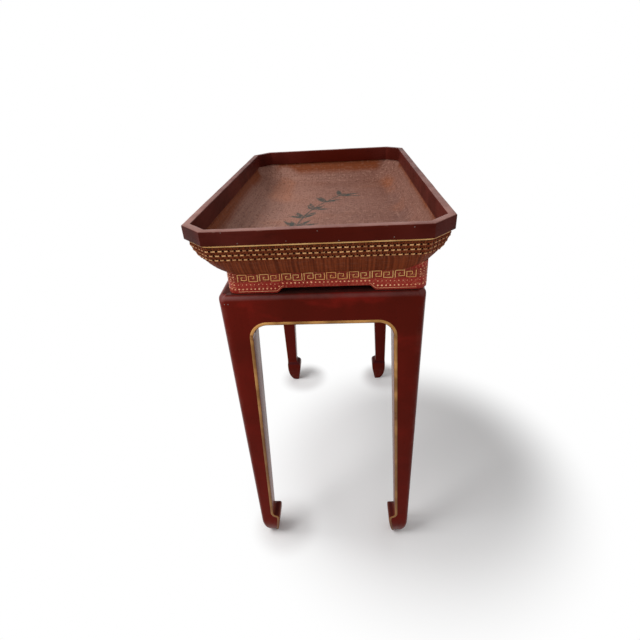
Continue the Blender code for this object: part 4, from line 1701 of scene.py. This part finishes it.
def dot_places():
    """Dots along the lower edge of each foot board, twice on the brackets and all over the corners."""
    scatter = random.Random(DOT_SEED)
    places = []
    for side in SIDES:
        for along in face_places(side, DOT_PITCH):
            plan, turn = foot_face(side, along)
            bottom = bracket_bottom(side, along)
            levels = [(bottom + DOT_LIFT, 1.0)]
            if bottom == FOOT_BOTTOM:
                levels.append((bottom + SMALL_DOT_LIFT, SMALL_DOT_SHARE))
            if abs(along) > side_half(side, FOOT) - FOOT_RADIUS:
                levels += [(FRET_MIDDLE + step, SMALL_DOT_SHARE) for step in CORNER_DOT_STEPS]
            for level, size in levels:
                places.append(motif_place(plan, level, turn, size * scatter.uniform(*DOT_SIZES)))
    return places


def bracket_lines():
    """A fine line above the lower edge of every bracket and up its slope."""
    paths = []
    for side in SIDES:
        half = side_half(side, FOOT)
        start = half - BRACKET_LENGTH - BRACKET_SLOPE
        end = half - FOOT_RADIUS
        for sign in (-1, 1):
            path = []
            for k in range(LINE_STEPS + 1):
                along = start + (end - start) * k / LINE_STEPS
                height = bracket_bottom(side, along) + LINE_LIFT
                path.append(Vector((*foot_face(side, sign * along)[0], height)))
            paths.append(path)
    return paths


def add_foot_frame(bowl, moulding, studding):
    lacquer = foot_lacquer()
    gold = gilding("fret_gilding", (255, 216, 140), (252, 190, 112), (0.58, 0.74), shine=0.3)
    pale = gilding("dot_gilding", (255, 196, 152), (238, 164, 122), (0.64, 0.78), shine=0.4)
    for side in SIDES:
        name = "foot_rail_" + side
        add_piece("foot_board_" + side, foot_shape(bowl, side), lacquer, "tray", "foot_lacquer", name)
    fret = mould("gilt_fret", moulding, fret_paths(), FRET_RADIUS, STRAND_SIDES, gold)
    lines = mould("gilt_lines", moulding, bracket_lines(), LINE_RADIUS, STRAND_SIDES, pale)
    dots = stud("gilt_dots", studding, dome(DOT_RADIUS, DOT_DOME), dot_places(), pale)
    for piece in (fret, lines, dots):
        settle(piece, "tray", "gilt_cane")


def add_hidden_wood():
    hidden = ("panel_batten", "peg", "glue_block", "floor_batten")
    give_finish([name for name in frame["nodes"] if name.startswith(hidden)], bare_wood())


# Stage


def add_floor():
    """A white floor that keeps its shadow beside the table and at each foot, and fades into white."""
    shape = bmesh.new()
    bmesh.ops.create_grid(shape, x_segments=1, y_segments=1, size=FLOOR_SIZE / 2)
    floor = mesh_object("studio_floor", shape)
    paint = Finish("studio_floor")
    far = paint.mask(paint.distance(paint.place, SHADOW_MIDDLE), *SHADOW_REACH)
    folded = paint.vector("ABSOLUTE", paint.vector("SUBTRACT", paint.place, CONTACT_SHIFT))
    clear = paint.mask(paint.distance(folded, CONTACT_PLACE), *CONTACT_REACH)
    paint.dress({"Base Color": tone(246, 246, 246), "Roughness": 0.9, "Specular IOR Level": 0.0})
    glow = paint.node("ShaderNodeEmission", None, {"Strength": 1.0})
    factor = far * clear * seen_rays(paint)
    sockets = {0: factor, 1: Wire(paint, paint.shader.outputs[0]), 2: glow}
    shown = paint.node("ShaderNodeMixShader", None, sockets)
    paint.feed(paint.tree.nodes["Material Output"], {"Surface": shown})
    floor.data.materials.append(paint.material)


def seen_rays(nodes):
    """1 for rays from the camera and for rays that gloss or glass sends on."""
    seen = [nodes.node("ShaderNodeLightPath", output=name) for name in SEEN_RAYS]
    return nodes.sum("MAXIMUM", nodes.sum("MAXIMUM", seen[0], seen[1]), seen[2])


def set_world():
    world = bpy.data.worlds.new("studio")
    world.use_nodes = True
    nodes = Nodes(world.node_tree)
    strength = SKY_FILL + seen_rays(nodes) * (1 - SKY_FILL)
    nodes.feed(world.node_tree.nodes["Background"], {"Color": (1, 1, 1, 1), "Strength": strength})
    bpy.context.scene.world = world


def add_key_light():
    lamp = bpy.data.lights.new("key", "AREA")
    lamp.size = KEY_SIZE
    lamp.energy = KEY_POWER
    key = add_object("key", lamp)
    key.location = KEY_PLACE
    key.rotation_euler = (Vector(KEY_AIM) - Vector(KEY_PLACE)).to_track_quat("-Z", "Y").to_euler()


def add_camera():
    data = bpy.data.cameras.new("camera")
    data.sensor_width = SENSOR_WIDTH
    data.lens = SENSOR_WIDTH * FOCAL_PIXELS / FRAME_PIXELS
    camera = add_object("camera", data)
    turn = Matrix.Rotation(CAMERA_TURN, 4, "Z")
    tilt = Matrix.Rotation(CAMERA_TILT, 4, "X")
    roll = Matrix.Rotation(CAMERA_ROLL, 4, "Z")
    camera.matrix_world = Matrix.Translation(CAMERA_PLACE) @ turn @ tilt @ roll
    bpy.context.scene.camera = camera


def build():
    moulding = moulding_tree()
    studding = studding_tree()
    iron = nail_iron()
    add_stand(moulding, studding, iron)
    add_rim(studding, iron)
    bowl = add_basket()
    add_lattice(moulding)
    add_strip(moulding)
    add_foot_frame(bowl, moulding, studding)
    add_hidden_wood()
    add_floor()
    set_world()
    add_key_light()
    add_camera()
    bpy.context.scene.view_settings.view_transform = "Standard"


build()
